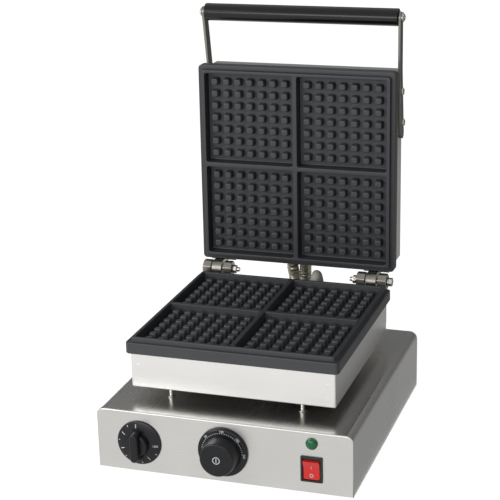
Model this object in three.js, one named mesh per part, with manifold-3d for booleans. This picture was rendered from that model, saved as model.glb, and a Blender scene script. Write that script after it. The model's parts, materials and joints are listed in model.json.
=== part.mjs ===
// Four-square waffle baker: a low stainless base with its controls, a fixed
// lower plate on studs, and an upper plate that swings up on two bolted hinges.
//
// Millimetres, +Z up, front towards -Y. While it is being built, x = 0 is the
// middle of the base, y = 0 its front face and z = 0 its underside; the last
// lines move the finished object so that its origin is the middle of its
// bounding box's bottom face. Everything on the lid is drawn closed, and one
// group turns it back to where it rests open.

import * as THREE from 'three';
import { mergeGeometries, mergeVertices } from 'three/addons/utils/BufferGeometryUtils.js';
import Module from 'manifold-3d';

// ---------------------------------------------------------------- dimensions

const GAP = 0.3; // clearance between pieces that touch
const SHEET = 1.5; // stainless sheet

const BASE = { width: 310, depth: 334, height: 75.2, bend: 10, lip: 12 };
const FOOT = { radius: 11, height: 4, inset: 26 };
const STUD = { radius: 2.5, x: 81, front: 53, rear: 272 };

const HOUSING = { half: 124.6, front: 37.9, length: 249.6, height: 43, lift: 14.3 };
const PLATE = { size: 258.6, front: 32.8, slab: 14, corner: 5, flange: 5.5 };
const RIM = { height: 5, width: 4, divider: 5, parting: 0.4 };
const CAVITY_DEPTH = 13.5;
const PEG = { count: 7, pitch: 15.5, top: 8.2, foot: 9.4, height: 9.2 };

const OPEN_ANGLE = THREE.MathUtils.degToRad(90.6);
const KNUCKLE = { radius: 10.8, width: 12, middle: 14.4, clear: 0.8 };
const HINGE_X = { left: -106.4, right: 102.2 };
const HINGE_SETBACK = 11.4; // axis behind the plates' rear edge
const PIN_RADIUS = 3;
const LOOSE = 0.3; // radial clearance of a pin in its hole

const BAR = { thick: 3.3, width: 14, splay: 2.2, low: 172, high: 322, lowDepth: 47.5, highDepth: 28 };
const BAR_BOLTS = [186, 227]; // distance from the plates' rear edge, along the lid
const GRIP_RADIUS = 11;

const TIMER = { x: -102, z: 37, skirt: 27 };
const THERMOSTAT = { x: 1.2, z: 38.2, skirt: 30 };
const SKIRT = { back: 1, thick: 3.5 };
const SPINDLE_RADIUS = 3;
const LAMP = { x: 106.8, z: 61.4, radius: 7 };
const SWITCH = { x: 106.5, z: 29.8, width: 26, height: 31.5, bezel: 2 };
const ROCKER = { width: 19.5, height: 25, pivotY: 3.5, tilt: THREE.MathUtils.degToRad(9) };

const CONDUIT = { radius: 7.75, xs: [-15.5, 2], deckY: 321, lidHeight: 19 };
const CONDUIT_FITTING = { radius: 8.5, lid: [12, 25], deck: 13 };
const SLEEVE = { x: 25.5, radius: 6.5, deckY: 322, crown: 150.5 };

// Heights and depths that follow from those sizes
const HOUSING_Z = BASE.height + HOUSING.lift;
const HOUSING_REAR = HOUSING.front + HOUSING.length;
const PLATE_Z = HOUSING_Z + HOUSING.height + GAP;
const PLATE_REAR = PLATE.front + PLATE.size;
const PLATE_Y = PLATE.front + PLATE.size / 2;
const PLATE_HEIGHT = PLATE.slab + RIM.height;
const UPPER_PLATE_Z = PLATE_Z + 2 * PLATE_HEIGHT + RIM.parting;
const UPPER_HOUSING_Z = UPPER_PLATE_Z + GAP;
const HINGE_Y = PLATE_REAR + HINGE_SETBACK;
const HINGE_Z = PLATE_Z + PLATE_HEIGHT + RIM.parting / 2;

// ------------------------------------------------------------------- shaping

const wasm = await Module();
wasm.setup();

function solid(geometry) {
  const bare = geometry.clone();
  bare.deleteAttribute('normal');
  bare.deleteAttribute('uv');
  const welded = mergeVertices(bare, 1e-4);
  const mesh = new wasm.Mesh({
    numProp: 3,
    vertProperties: new Float32Array(welded.attributes.position.array),
    triVerts: new Uint32Array(welded.index.array),
  });
  return new wasm.Manifold(mesh);
}

function surface(body) {
  const mesh = body.getMesh();
  const geometry = new THREE.BufferGeometry();
  geometry.setAttribute('position', new THREE.BufferAttribute(mesh.vertProperties, 3));
  geometry.setIndex(new THREE.BufferAttribute(mesh.triVerts, 1));
  geometry.computeVertexNormals();
  return geometry;
}

function join(first, ...others) {
  return surface(others.reduce((body, part) => body.add(solid(part)), solid(first)));
}

function cut(first, ...tools) {
  return surface(tools.reduce((body, tool) => body.subtract(solid(tool)), solid(first)));
}

function common(first, second) {
  return surface(solid(first).intersect(solid(second)));
}

// A box between two corners
function block(x, y, z) {
  const box = new THREE.BoxGeometry(x[1] - x[0], y[1] - y[0], z[1] - z[0]);
  return box.translate((x[0] + x[1]) / 2, (y[0] + y[1]) / 2, (z[0] + z[1]) / 2);
}

// A round bar along an axis, from one place on it to another. The centre gives
// its two other coordinates, in x, y, z order.
function rod(axis, radius, from, to, centre, sides = 20) {
  const bar = new THREE.CylinderGeometry(radius, radius, to - from, sides);
  const middle = (from + to) / 2;
  if (axis === 'x') return bar.rotateZ(Math.PI / 2).translate(middle, ...centre);
  if (axis === 'y') return bar.translate(centre[0], middle, centre[1]);
  return bar.rotateX(Math.PI / 2).translate(...centre, middle);
}

// A turned piece on +Z, or one that points forward along -Y
function turned(profile, sides = 24) {
  const points = profile.map(([radius, height]) => new THREE.Vector2(radius, height));
  return new THREE.LatheGeometry(points, sides).rotateX(Math.PI / 2);
}

function turnedForward(profile, x, z, sides = 32) {
  return turned(profile, sides).rotateX(Math.PI / 2).translate(x, 0, z);
}

function roundedRectangle(width, height, radius) {
  const [w, h] = [width / 2, height / 2];
  const shape = new THREE.Shape();
  shape.moveTo(-w + radius, -h);
  shape.lineTo(w - radius, -h);
  shape.absarc(w - radius, -h + radius, radius, -Math.PI / 2, 0);
  shape.lineTo(w, h - radius);
  shape.absarc(w - radius, h - radius, radius, 0, Math.PI / 2);
  shape.lineTo(-w + radius, h);
  shape.absarc(-w + radius, h - radius, radius, Math.PI / 2, Math.PI);
  shape.lineTo(-w, -h + radius);
  shape.absarc(-w + radius, -h + radius, radius, Math.PI, 1.5 * Math.PI);
  return shape;
}

function polygon(points) {
  return new THREE.Shape(points.map(([a, b]) => new THREE.Vector2(a, b)));
}

function upright(shape, depth, steps = 4) {
  return new THREE.ExtrudeGeometry(shape, { depth, bevelEnabled: false, curveSegments: steps });
}

// An outline in the XZ plane, pushed back along +Y from y = front
function pushedBack(shape, front, depth, steps = 6) {
  return upright(shape, depth, steps).rotateX(Math.PI / 2).translate(0, front + depth, 0);
}

// A solid tube along a curve
function tube(curve, radius, steps, sides) {
  const section = new THREE.Shape();
  for (let i = 0; i < sides; i += 1) {
    const angle = (2 * Math.PI * i) / sides;
    const corner = [radius * Math.cos(angle), radius * Math.sin(angle)];
    if (i === 0) section.moveTo(...corner);
    else section.lineTo(...corner);
  }
  return new THREE.ExtrudeGeometry(section, { steps, extrudePath: curve, bevelEnabled: false });
}

function smoothPath(points) {
  return new THREE.CatmullRomCurve3(points.map((p) => new THREE.Vector3(...p)), false, 'centripetal');
}

// ------------------------------------------------------------------ assembly

const FINISHES = {
  stainless: ['#b9b8b4', 0.35, 1],
  plate: ['#45474a', 0.55, 0.3],
  darkSteel: ['#5a5954', 0.4, 1],
  zinc: ['#a8a8a2', 0.35, 1],
  black: ['#17181a', 0.35, 0],
  rubber: ['#1d1d1d', 0.9, 0],
  red: ['#e0251b', 0.35, 0],
  green: ['#17795a', 0.25, 0],
  hose: ['#9a9890', 0.4, 1],
  sleeve: ['#8f908a', 0.7, 0],
  ceramic: ['#d8d4c8', 0.6, 0],
};

const object = new THREE.Group();
const fixed = new THREE.Group();
const lid = new THREE.Group();
const lidParts = new THREE.Group();
object.add(fixed, lid);
lid.add(lidParts);
lid.position.set(0, HINGE_Y, HINGE_Z);
lid.rotation.x = -OPEN_ANGLE;
lidParts.position.set(0, -HINGE_Y, -HINGE_Z);

function add(group, name, geometry, finish) {
  const [color, roughness, metalness] = FINISHES[finish];
  const mesh = new THREE.Mesh(geometry, new THREE.MeshStandardMaterial({ color, roughness, metalness }));
  mesh.name = name;
  group.add(mesh);
  return mesh;
}

// ---------------------------------------------------------------- base shell

const halfBase = BASE.width / 2;

// The arch of the wrapped sheet, seen from the front, at an inset from its outside
function archOutline(inset) {
  const [side, top] = [halfBase - inset, BASE.height - inset];
  const bend = BASE.bend - inset;
  const shape = new THREE.Shape();
  shape.moveTo(-side, inset);
  shape.lineTo(side, inset);
  shape.lineTo(side, top - bend);
  shape.absarc(side - bend, top - bend, bend, 0, Math.PI / 2);
  shape.lineTo(-side + bend, top);
  shape.absarc(-side + bend, top - bend, bend, Math.PI / 2, Math.PI);
  return shape;
}

// Holes that wires and hoses need in the deck
const WIRE_TUBE = { x: 0, y: 160, outer: 11, inner: 9 };
const deckHoles = [
  rod('z', WIRE_TUBE.outer + GAP, 60, 90, [WIRE_TUBE.x, WIRE_TUBE.y]),
  rod('z', SLEEVE.radius + 2, 60, 90, [SLEEVE.x, SLEEVE.deckY]),
  ...CONDUIT.xs.map((x) => rod('z', CONDUIT.radius + 0.6, 60, 90, [x, CONDUIT.deckY])),
];
const studPlaces = [
  ['front_left', -STUD.x, STUD.front],
  ['front_right', STUD.x, STUD.front],
  ['rear_left', -STUD.x, STUD.rear],
  ['rear_right', STUD.x, STUD.rear],
];
const studHoles = studPlaces.map(([, x, y]) => rod('z', STUD.radius + LOOSE, 60, 95, [x, y], 12));

function baseWrap() {
  const [front, back] = [SHEET + GAP, BASE.depth - SHEET - GAP];
  const outside = pushedBack(archOutline(0), front, back - front);
  const inside = pushedBack(archOutline(SHEET), front - 1, back - front + 2);
  const lipX = [-halfBase + BASE.lip, halfBase - BASE.lip];
  const underside = block(lipX, [front - 1, back + 1], [-1, SHEET + 1]);
  return cut(outside, inside, underside, ...deckHoles, ...studHoles);
}

function frontPanel() {
  const hole = (radius, { x, z }) => rod('y', radius, -2, SHEET + 2, [x, z]);
  const [w, h] = [SWITCH.width / 2 - 1.2, SWITCH.height / 2 - 1.2];
  const switchHole = block([SWITCH.x - w, SWITCH.x + w], [-2, SHEET + 2], [SWITCH.z - h, SWITCH.z + h]);
  const panel = pushedBack(archOutline(0), 0, SHEET);
  return cut(panel, hole(6, TIMER), hole(6, THERMOSTAT), hole(5.3, LAMP), switchHole);
}

const INLET = { x: -110, z: 30, radius: 8 };

function rearPanel() {
  const front = BASE.depth - SHEET;
  const slots = [];
  for (let i = 0; i < 6; i += 1) {
    const x = -20 + i * 20;
    slots.push(block([x - 2, x + 2], [front - 1, front + 3], [22, 54]));
  }
  const inlet = rod('y', INLET.radius + GAP, front - 2, front + 4, [INLET.x, INLET.z]);
  return cut(pushedBack(archOutline(0), front, SHEET), inlet, ...slots);
}

add(fixed, 'base_wrap', baseWrap(), 'stainless');
add(fixed, 'front_panel', frontPanel(), 'stainless');
add(fixed, 'rear_panel', rearPanel(), 'stainless');

const trayEdge = halfBase - SHEET - GAP;
const tray = [SHEET + GAP, 2 * SHEET + GAP];
const trayY = [2 * (SHEET + GAP), BASE.depth - 2 * (SHEET + GAP)];
add(fixed, 'bottom_plate', block([-trayEdge, trayEdge], trayY, tray), 'stainless');

for (const [place, x, y] of [
  ['front_left', -halfBase + FOOT.inset, FOOT.inset],
  ['front_right', halfBase - FOOT.inset, FOOT.inset],
  ['rear_left', -halfBase + FOOT.inset, BASE.depth - FOOT.inset],
  ['rear_right', halfBase - FOOT.inset, BASE.depth - FOOT.inset],
]) {
  const puck = [[0, -FOOT.height], [FOOT.radius - 1, -FOOT.height], [FOOT.radius, 1 - FOOT.height]];
  const rest = [[FOOT.radius, SHEET], [0, SHEET]];
  add(fixed, `foot_${place}`, turned([...puck, ...rest], 16).translate(x, y, 0), 'rubber');
}

for (const [place, x, y] of studPlaces) {
  const studTop = HOUSING_Z + SHEET + 5;
  const shank = rod('z', STUD.radius, BASE.height - 8, studTop, [x, y], 12);
  const collar = rod('z', 4, BASE.height + GAP, BASE.height + 1.8, [x, y], 6);
  add(fixed, `stud_${place}`, join(shank, collar), 'zinc');
}

// ------------------------------------------------------------ heated housings

// A sheet box with its open side up, its floor at z = 0. Each hole is a tool
// already in place.
function housing(holes) {
  const [x, y0, y1] = [HOUSING.half, HOUSING.front, HOUSING_REAR];
  const outside = upright(roundedRectangle(2 * x, HOUSING.length, 2), HOUSING.height);
  const inside = block([-x + SHEET, x - SHEET], [y0 + SHEET, y1 - SHEET], [SHEET, HOUSING.height + 1]);
  return cut(outside.translate(0, (y0 + y1) / 2, 0), inside, ...holes);
}

// The flanged waffle casting, its back at z = 0 and its grid facing up
function waffleCasting() {
  const rimSize = PLATE.size - 2 * PLATE.flange;
  const cavity = (rimSize - 2 * RIM.width - RIM.divider) / 2;
  const offset = (cavity + RIM.divider) / 2;
  const floor = PLATE_HEIGHT - CAVITY_DEPTH;
  const slab = upright(roundedRectangle(PLATE.size, PLATE.size, PLATE.corner), PLATE.slab);
  const rim = upright(roundedRectangle(rimSize, rimSize, 3), PLATE_HEIGHT - 1).translate(0, 0, 1);
  const cavities = [];
  const pegs = [];
  for (const cx of [-offset, offset]) {
    for (const cy of [-offset, offset]) {
      const pocket = upright(roundedRectangle(cavity, cavity, 2), CAVITY_DEPTH + 1, 2);
      cavities.push(pocket.translate(cx, cy, floor));
      pegs.push(...pegGrid(cx, cy, floor));
    }
  }
  const hollowed = solid(join(slab, rim)).subtract(solid(mergeGeometries(cavities)));
  return surface(hollowed.add(solid(mergeGeometries(pegs))));
}

function pegGrid(cx, cy, floor) {
  const pegs = [];
  const sunk = 0.5; // foot of the peg below the floor, so that the two join
  const half = (PEG.count - 1) / 2;
  const radii = [PEG.top / Math.SQRT2, PEG.foot / Math.SQRT2];
  for (let i = 0; i < PEG.count; i += 1) {
    for (let j = 0; j < PEG.count; j += 1) {
      const peg = new THREE.CylinderGeometry(...radii, PEG.height + sunk, 4);
      peg.rotateY(Math.PI / 4).rotateX(Math.PI / 2);
      const [x, y] = [cx + (i - half) * PEG.pitch, cy + (j - half) * PEG.pitch];
      pegs.push(peg.translate(x, y, floor + (PEG.height - sunk) / 2));
    }
  }
  return pegs;
}

// The element under a casting: a rod heater bent to a W in one plane
function heater(z) {
  const points = [];
  const [front, back] = [HOUSING.front + 35, HOUSING_REAR - 25];
  const lanes = [-90, -54, -18, 18, 54, 90];
  lanes.forEach((x, lane) => {
    const ends = lane % 2 === 0 ? [back, front] : [front, back];
    const inward = lane % 2 === 0 ? 1 : -1;
    points.push([x, ends[0] - 18 * inward, z], [x, ends[1] + 18 * inward, z]);
    if (lane < lanes.length - 1) points.push([x + 18, ends[1], z]);
  });
  return tube(smoothPath(points), 4, 60, 6);
}

// A shallow sheet tray that throws the heat back at the casting
function reflector(z) {
  const [x, y0, y1] = [HOUSING.half - 5, HOUSING.front + 5, HOUSING_REAR - 5];
  const outside = block([-x, x], [y0, y1], [z, z + 12]);
  const inside = block([-x + 1, x - 1], [y0 + 1, y1 - 1], [z + 1, z + 13]);
  const slot = rod('z', WIRE_TUBE.inner, z - 1, z + 3, [WIRE_TUBE.x, WIRE_TUBE.y]);
  return cut(outside, inside, slot);
}

const sleeveEntry = { y: HOUSING_REAR, z: 108 };
const sleeveHole = [SLEEVE.x, sleeveEntry.z - HOUSING_Z];
const lowerHousingHoles = [
  rod('z', WIRE_TUBE.outer + GAP, -1, SHEET + 1, [WIRE_TUBE.x, WIRE_TUBE.y]),
  rod('y', SLEEVE.radius + 0.8, sleeveEntry.y - 3, sleeveEntry.y + 2, sleeveHole),
  ...studPlaces.map(([, x, y]) => rod('z', STUD.radius + LOOSE, -1, SHEET + 1, [x, y], 12)),
];
const lowerReflectorZ = HOUSING_Z + 16;
add(fixed, 'lower_housing', housing(lowerHousingHoles).translate(0, 0, HOUSING_Z), 'stainless');
add(fixed, 'lower_plate', waffleCasting(), 'plate').position.set(0, PLATE_Y, PLATE_Z);
add(fixed, 'lower_heater', heater(PLATE_Z - 5), 'darkSteel');
add(fixed, 'lower_reflector', reflector(lowerReflectorZ), 'zinc');

function wiringTube() {
  const [low, high] = [BASE.height - 6, HOUSING_Z + 8];
  const outside = rod('z', WIRE_TUBE.outer, low, high, [WIRE_TUBE.x, WIRE_TUBE.y]);
  return cut(outside, rod('z', WIRE_TUBE.inner, low - 1, high + 1, [WIRE_TUBE.x, WIRE_TUBE.y]));
}

add(fixed, 'wiring_tube', wiringTube(), 'zinc');

// ------------------------------------------------------------------ controls

// A control screwed behind the front panel: a box with a neck that carries the spindle
function controlBody({ x, z }, size, depth) {
  const front = SHEET + GAP;
  const half = size / 2;
  const box = block([x - half, x + half], [front + 3, front + depth], [z - half, z + half]);
  const neck = rod('y', 5.5, 0, front + 4, [x, z]);
  const bore = rod('y', SPINDLE_RADIUS + LOOSE, -1, front + 14, [x, z]);
  return cut(join(box, neck), bore);
}

function spindle({ x, z }) {
  return rod('y', SPINDLE_RADIUS, -14, SHEET + 12, [x, z], 16);
}

const spindleBore = ({ x, z }) => rod('y', SPINDLE_RADIUS + LOOSE, -14 - GAP, 5, [x, z], 16);

// A bar knob on a bevelled skirt
function timerKnob() {
  const { x, z, skirt } = TIMER;
  const face = SKIRT.back + SKIRT.thick;
  const edge = [[0, SKIRT.back], [skirt, SKIRT.back], [skirt, SKIRT.back + 1]];
  const disc = turnedForward([...edge, [skirt - 5, face], [0, face]], x, z, 32);
  const handle = pushedBack(roundedRectangle(10, 36, 4), -21, 21 - face + 1, 3).translate(x, 0, z);
  return cut(join(disc, handle), spindleBore(TIMER));
}

// A round knob, slightly conical, on a flat numbered skirt
function thermostatKnob() {
  const { x, z, skirt } = THERMOSTAT;
  const face = SKIRT.back + SKIRT.thick;
  const skirtEdge = [[0, SKIRT.back], [skirt, SKIRT.back], [skirt, SKIRT.back + 1.5], [skirt - 2, face]];
  const cone = [[23, face], [20.8, face + 14], [20, 24.2], [19, 25], [0, 25]];
  return cut(turnedForward([...skirtEdge, ...cone], x, z, 32), spindleBore(THERMOSTAT));
}

add(fixed, 'timer_body', controlBody(TIMER, 42, 36), 'ceramic');
add(fixed, 'timer_spindle', spindle(TIMER), 'zinc');
add(fixed, 'timer_knob', timerKnob(), 'black');
add(fixed, 'thermostat_body', controlBody(THERMOSTAT, 38, 32), 'ceramic');
add(fixed, 'thermostat_spindle', spindle(THERMOSTAT), 'zinc');
add(fixed, 'thermostat_knob', thermostatKnob(), 'black');

// The sensing tube: thin along its run, with a thick bulb under the lower casting
function capillary() {
  const { x, y } = WIRE_TUBE;
  const start = THERMOSTAT.z + 12;
  const bulbZ = lowerReflectorZ + 8;
  const rise = [[x, y - 3, 62], [x, y, 72], [x, y, HOUSING_Z + 12]];
  const level = [[x, y + 6, bulbZ - 1], [x, y + 18, bulbZ]];
  const run = [[12, SHEET + GAP + 32.5, start], [12, 70, 52], [6, 120, 50], ...rise, ...level];
  const bulb = rod('y', 3, y + 17, y + 77, [x, bulbZ], 12);
  return join(tube(smoothPath(run), 1.2, 36, 5), bulb);
}

add(fixed, 'thermostat_capillary', capillary(), 'zinc');

const lens = [[0, GAP], [LAMP.radius, GAP], [LAMP.radius, 1.6], [6.2, 3.1], [4, 4.3], [0, 4.9]];
add(fixed, 'lamp_lens', turnedForward(lens, LAMP.x, LAMP.z, 28), 'green');
add(fixed, 'lamp_body', rod('y', 5, 0, 24, [LAMP.x, LAMP.z], 16), 'black');

function switchBody() {
  const [w, h] = [SWITCH.width / 2, SWITCH.height / 2];
  const frame = (dx, dz, y) => block([SWITCH.x - dx, SWITCH.x + dx], y, [SWITCH.z - dz, SWITCH.z + dz]);
  const bezel = frame(w, h, [-SWITCH.bezel - GAP, -GAP]);
  const box = frame(w - 1.6, h - 1.6, [-GAP - 0.5, 20]);
  const well = frame(ROCKER.width / 2 + 0.6, ROCKER.height / 2 + 0.6, [-SWITCH.bezel - 2, 12]);
  return cut(join(bezel, box), well);
}

// Drawn from the side: two shallow faces that meet at its middle, over a
// rounded back. The pivot is the origin of that outline.
function rocker() {
  const half = ROCKER.height / 2 - 0.7;
  const front = [[-6.5, -half], [-4.6, 0], [-6.5, half]];
  const side = polygon([...front, [1, half - 1], [4.5, 3], [4.5, -3], [1, 1 - half]]);
  const body = upright(side, ROCKER.width).translate(0, 0, -ROCKER.width / 2);
  body.rotateZ(ROCKER.tilt).applyMatrix4(new THREE.Matrix4().makeBasis(
    new THREE.Vector3(0, 1, 0),
    new THREE.Vector3(0, 0, 1),
    new THREE.Vector3(1, 0, 0),
  ));
  return body.translate(SWITCH.x, ROCKER.pivotY, SWITCH.z);
}

add(fixed, 'switch_body', switchBody(), 'black');
add(fixed, 'switch_rocker', rocker(), 'red');

// ---------------------------------------------------------- wiring in the base

function terminalBlock() {
  const [x, y, z] = [-95, 250, tray[1] + GAP];
  const strip = block([x - 30, x + 30], [y - 11, y + 11], [z, z + 18]);
  const wells = [-22.5, -7.5, 7.5, 22.5].map((dx) => rod('z', 3.2, z + 6, z + 20, [x + dx, y], 10));
  return cut(strip, ...wells);
}

function cableGland() {
  const back = BASE.depth;
  const thread = rod('y', INLET.radius, back - 9, back + 2, [INLET.x, INLET.z], 16);
  const nut = rod('y', 12, back + GAP, back + 6, [INLET.x, INLET.z], 6);
  const cap = rod('y', 10, back + 5, back + 14, [INLET.x, INLET.z], 20);
  const bore = rod('y', 4, back - 10, back + 15, [INLET.x, INLET.z], 12);
  return cut(join(thread, nut, cap), bore);
}

add(fixed, 'terminal_block', terminalBlock(), 'ceramic');
add(fixed, 'cable_gland', cableGland(), 'black');

// -------------------------------------------------------------------- hinges

const knuckleCentre = [HINGE_Y, HINGE_Z];
const armY = [PLATE_REAR + 0.5, HINGE_Y - 4.8];
const padY = [HOUSING_REAR + GAP, armY[1]];
const pitch = (KNUCKLE.middle + KNUCKLE.width) / 2 + KNUCKLE.clear; // between knuckle centres

function knuckle(x, width, radius = KNUCKLE.radius) {
  return rod('x', radius, x - width / 2, x + width / 2, knuckleCentre, 24);
}

function hingeBracket(x) {
  const half = pitch + KNUCKLE.width / 2;
  const arm = block([x - half, x + half], armY, [98, HINGE_Z]);
  const pad = block([x - half, x + half], padY, [98, PLATE_Z - 1.5]);
  const slot = knuckle(x, KNUCKLE.middle + 2 * KNUCKLE.clear, KNUCKLE.radius + KNUCKLE.clear);
  const slotX = [x - KNUCKLE.middle / 2 - KNUCKLE.clear, x + KNUCKLE.middle / 2 + KNUCKLE.clear];
  const relief = block(slotX, [armY[0] - 1, armY[1] + 1], [HINGE_Z - 3, HINGE_Z + 1]);
  const pin = rod('x', PIN_RADIUS + LOOSE, x - 40, x + 40, knuckleCentre, 16);
  const web = surface(solid(arm).add(solid(pad)).subtract(solid(slot)).subtract(solid(relief)));
  const ears = [x - pitch, x + pitch].map((centre) => knuckle(centre, KNUCKLE.width));
  return cut(join(web, ...ears), pin);
}

function hingeLeaf(x) {
  const [narrow, wide] = [KNUCKLE.middle / 2, 17];
  const arm = block([x - narrow, x + narrow], armY, [HINGE_Z, UPPER_HOUSING_Z + 20]);
  const pad = block([x - wide, x + wide], padY, [UPPER_HOUSING_Z + 1.5, UPPER_HOUSING_Z + 36]);
  const pin = rod('x', PIN_RADIUS + LOOSE, x - 40, x + 40, knuckleCentre, 16);
  return cut(join(arm, pad, knuckle(x, KNUCKLE.middle)), pin);
}

// The bolt's head is on the outboard side and its nut on the inboard side
function hingeHardware(x, outboard) {
  const ear = pitch + KNUCKLE.width / 2 + GAP;
  const along = (from, to, radius, sides) => {
    const places = [x + outboard * from, x + outboard * to].sort((a, b) => a - b);
    return rod('x', radius, ...places, knuckleCentre, sides);
  };
  const shank = along(-ear - 9, ear + 1, PIN_RADIUS, 16);
  const head = along(ear, ear + (outboard > 0 ? 6.5 : 1.6), 5.8, 6);
  const nut = cut(along(-ear - 5.2, -ear, 5.8, 6), along(-ear - 6, -ear + 1, PIN_RADIUS + LOOSE, 16));
  return { bolt: join(shank, head), nut };
}

for (const [side, x, outboard] of [['left', HINGE_X.left, -1], ['right', HINGE_X.right, 1]]) {
  const { bolt, nut } = hingeHardware(x, outboard);
  add(fixed, `hinge_bracket_${side}`, hingeBracket(x), 'darkSteel');
  add(lidParts, `hinge_leaf_${side}`, hingeLeaf(x), 'darkSteel');
  add(fixed, `hinge_bolt_${side}`, bolt, 'zinc');
  add(fixed, `hinge_nut_${side}`, nut, 'zinc');
}

// ----------------------------------------------------------------------- lid

// Along the lid from its hinge side, and away from the plates, as closed
const lidY = (along) => PLATE_REAR - along;
const lidZ = (depth) => UPPER_PLATE_Z - PLATE.slab + depth;

const barDepth = (along) => {
  const share = (along - BAR.low) / (BAR.high - BAR.low);
  return BAR.lowDepth + share * (BAR.highDepth - BAR.lowDepth);
};
const barBoltPlaces = BAR_BOLTS.map((along) => [lidY(along), lidZ(barDepth(along))]);
const barBoltHoles = barBoltPlaces.map((place) => rod('x', 2.5 + LOOSE, -150, 150, place, 16));
const conduitEntryZ = UPPER_HOUSING_Z + CONDUIT.lidHeight;
const conduitEntries = CONDUIT.xs.map((x) => (
  rod('y', CONDUIT.radius + 0.6, HOUSING_REAR - 3, HOUSING_REAR + 2, [x, conduitEntryZ])
));

function upperHousing() {
  const box = housing([]).rotateY(Math.PI).translate(0, 0, UPPER_HOUSING_Z + HOUSING.height);
  return cut(box, ...barBoltHoles, ...conduitEntries);
}

add(lidParts, 'upper_housing', upperHousing(), 'stainless');
const upperPlate = add(lidParts, 'upper_plate', waffleCasting(), 'plate');
upperPlate.position.set(0, PLATE_Y, UPPER_PLATE_Z);
upperPlate.rotation.y = Math.PI;
add(lidParts, 'upper_heater', heater(UPPER_PLATE_Z + 5), 'darkSteel');
const upperReflector = reflector(0).rotateY(Math.PI).translate(0, 0, UPPER_HOUSING_Z + 27);
add(lidParts, 'upper_reflector', upperReflector, 'zinc');

// -------------------------------------------------------------------- handle

const gripPlace = [lidY(BAR.high), lidZ(barDepth(BAR.high))];
const barFoot = HOUSING.half + GAP;
const barHead = barFoot + BAR.splay;

// A flat bar: straight beside the lid, then splayed out to the grip, with
// round ends and its holes
function handleBar(side) {
  const bend = PLATE.size - 6;
  const [start, end] = [BAR.low - 10, BAR.high + 12];
  const inner = [[barFoot, lidY(start)], [barFoot, lidY(bend)], [barHead, lidY(end)]];
  const outer = inner.map(([x, y]) => [x + BAR.thick, y]).reverse();
  const outlineX = [...inner, ...outer].map(([x, y]) => [side * x, y]);
  const strip = upright(polygon(outlineX), 80).translate(0, 0, lidZ(0));
  const ends = [BAR.low, BAR.high].map((along) => [lidY(along), lidZ(barDepth(along))]);
  const rounds = ends.map((place) => rod('x', BAR.width / 2, -150, 150, place, 16));
  const [dy, dz] = [ends[1][0] - ends[0][0], ends[1][1] - ends[0][1]];
  const length = Math.hypot(dy, dz);
  const flat = block([-150, 150], [-length / 2, length / 2], [-BAR.width / 2, BAR.width / 2]);
  flat.rotateX(Math.atan2(-dz, -dy)).translate(0, ends[0][0] + dy / 2, ends[0][1] + dz / 2);
  const outline = join(flat, ...rounds);
  const rodHole = rod('x', PIN_RADIUS + LOOSE, -150, 150, gripPlace, 16);
  return cut(common(strip, outline), rodHole, ...barBoltHoles);
}

function barBolt(side, place) {
  const face = barFoot + BAR.thick;
  const span = (from, to) => [side * from, side * to].sort((a, b) => a - b);
  const shank = rod('x', 2.5, ...span(HOUSING.half - 4, face + 1), place, 12);
  const head = rod('x', 4.6, ...span(face + GAP, face + 3.4), place, 12);
  return join(shank, head);
}

// The rod's cap nut, outside a bar
function gripNut(side) {
  const face = barHead + BAR.thick + 0.6;
  const span = (from, to) => [side * from, side * to].sort((a, b) => a - b);
  const cap = rod('x', 5.2, ...span(face, face + 5), gripPlace, 12);
  return cut(cap, rod('x', PIN_RADIUS + LOOSE, ...span(face - 1, face + 3.5), gripPlace, 16));
}

for (const [name, side] of [['left', -1], ['right', 1]]) {
  add(lidParts, `handle_bar_${name}`, handleBar(side), 'darkSteel');
  add(lidParts, `bar_bolt_low_${name}`, barBolt(side, barBoltPlaces[0]), 'zinc');
  add(lidParts, `bar_bolt_high_${name}`, barBolt(side, barBoltPlaces[1]), 'zinc');
  add(lidParts, `grip_nut_${name}`, gripNut(side), 'zinc');
}

const gripEnd = barHead - 0.9;
const gripTube = rod('x', GRIP_RADIUS, -gripEnd, gripEnd, gripPlace, 32);
const gripBore = rod('x', PIN_RADIUS + LOOSE, -gripEnd - 1, gripEnd + 1, gripPlace, 16);
const rodEnd = barHead + BAR.thick + 3.5;
add(lidParts, 'grip', cut(gripTube, gripBore), 'black');
add(lidParts, 'grip_rod', rod('x', PIN_RADIUS, -rodEnd, rodEnd, gripPlace, 16), 'zinc');

// ------------------------------------------------------- hoses behind the lid

const deckTop = BASE.height;
const turnOpen = new THREE.Matrix4().makeRotationX(-OPEN_ANGLE);

// Where a point of the closed lid stands when the lid rests open
function opened(y, z) {
  const point = new THREE.Vector3(0, y - HINGE_Y, z - HINGE_Z).applyMatrix4(turnOpen);
  return [point.y + HINGE_Y, point.z + HINGE_Z];
}

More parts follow.
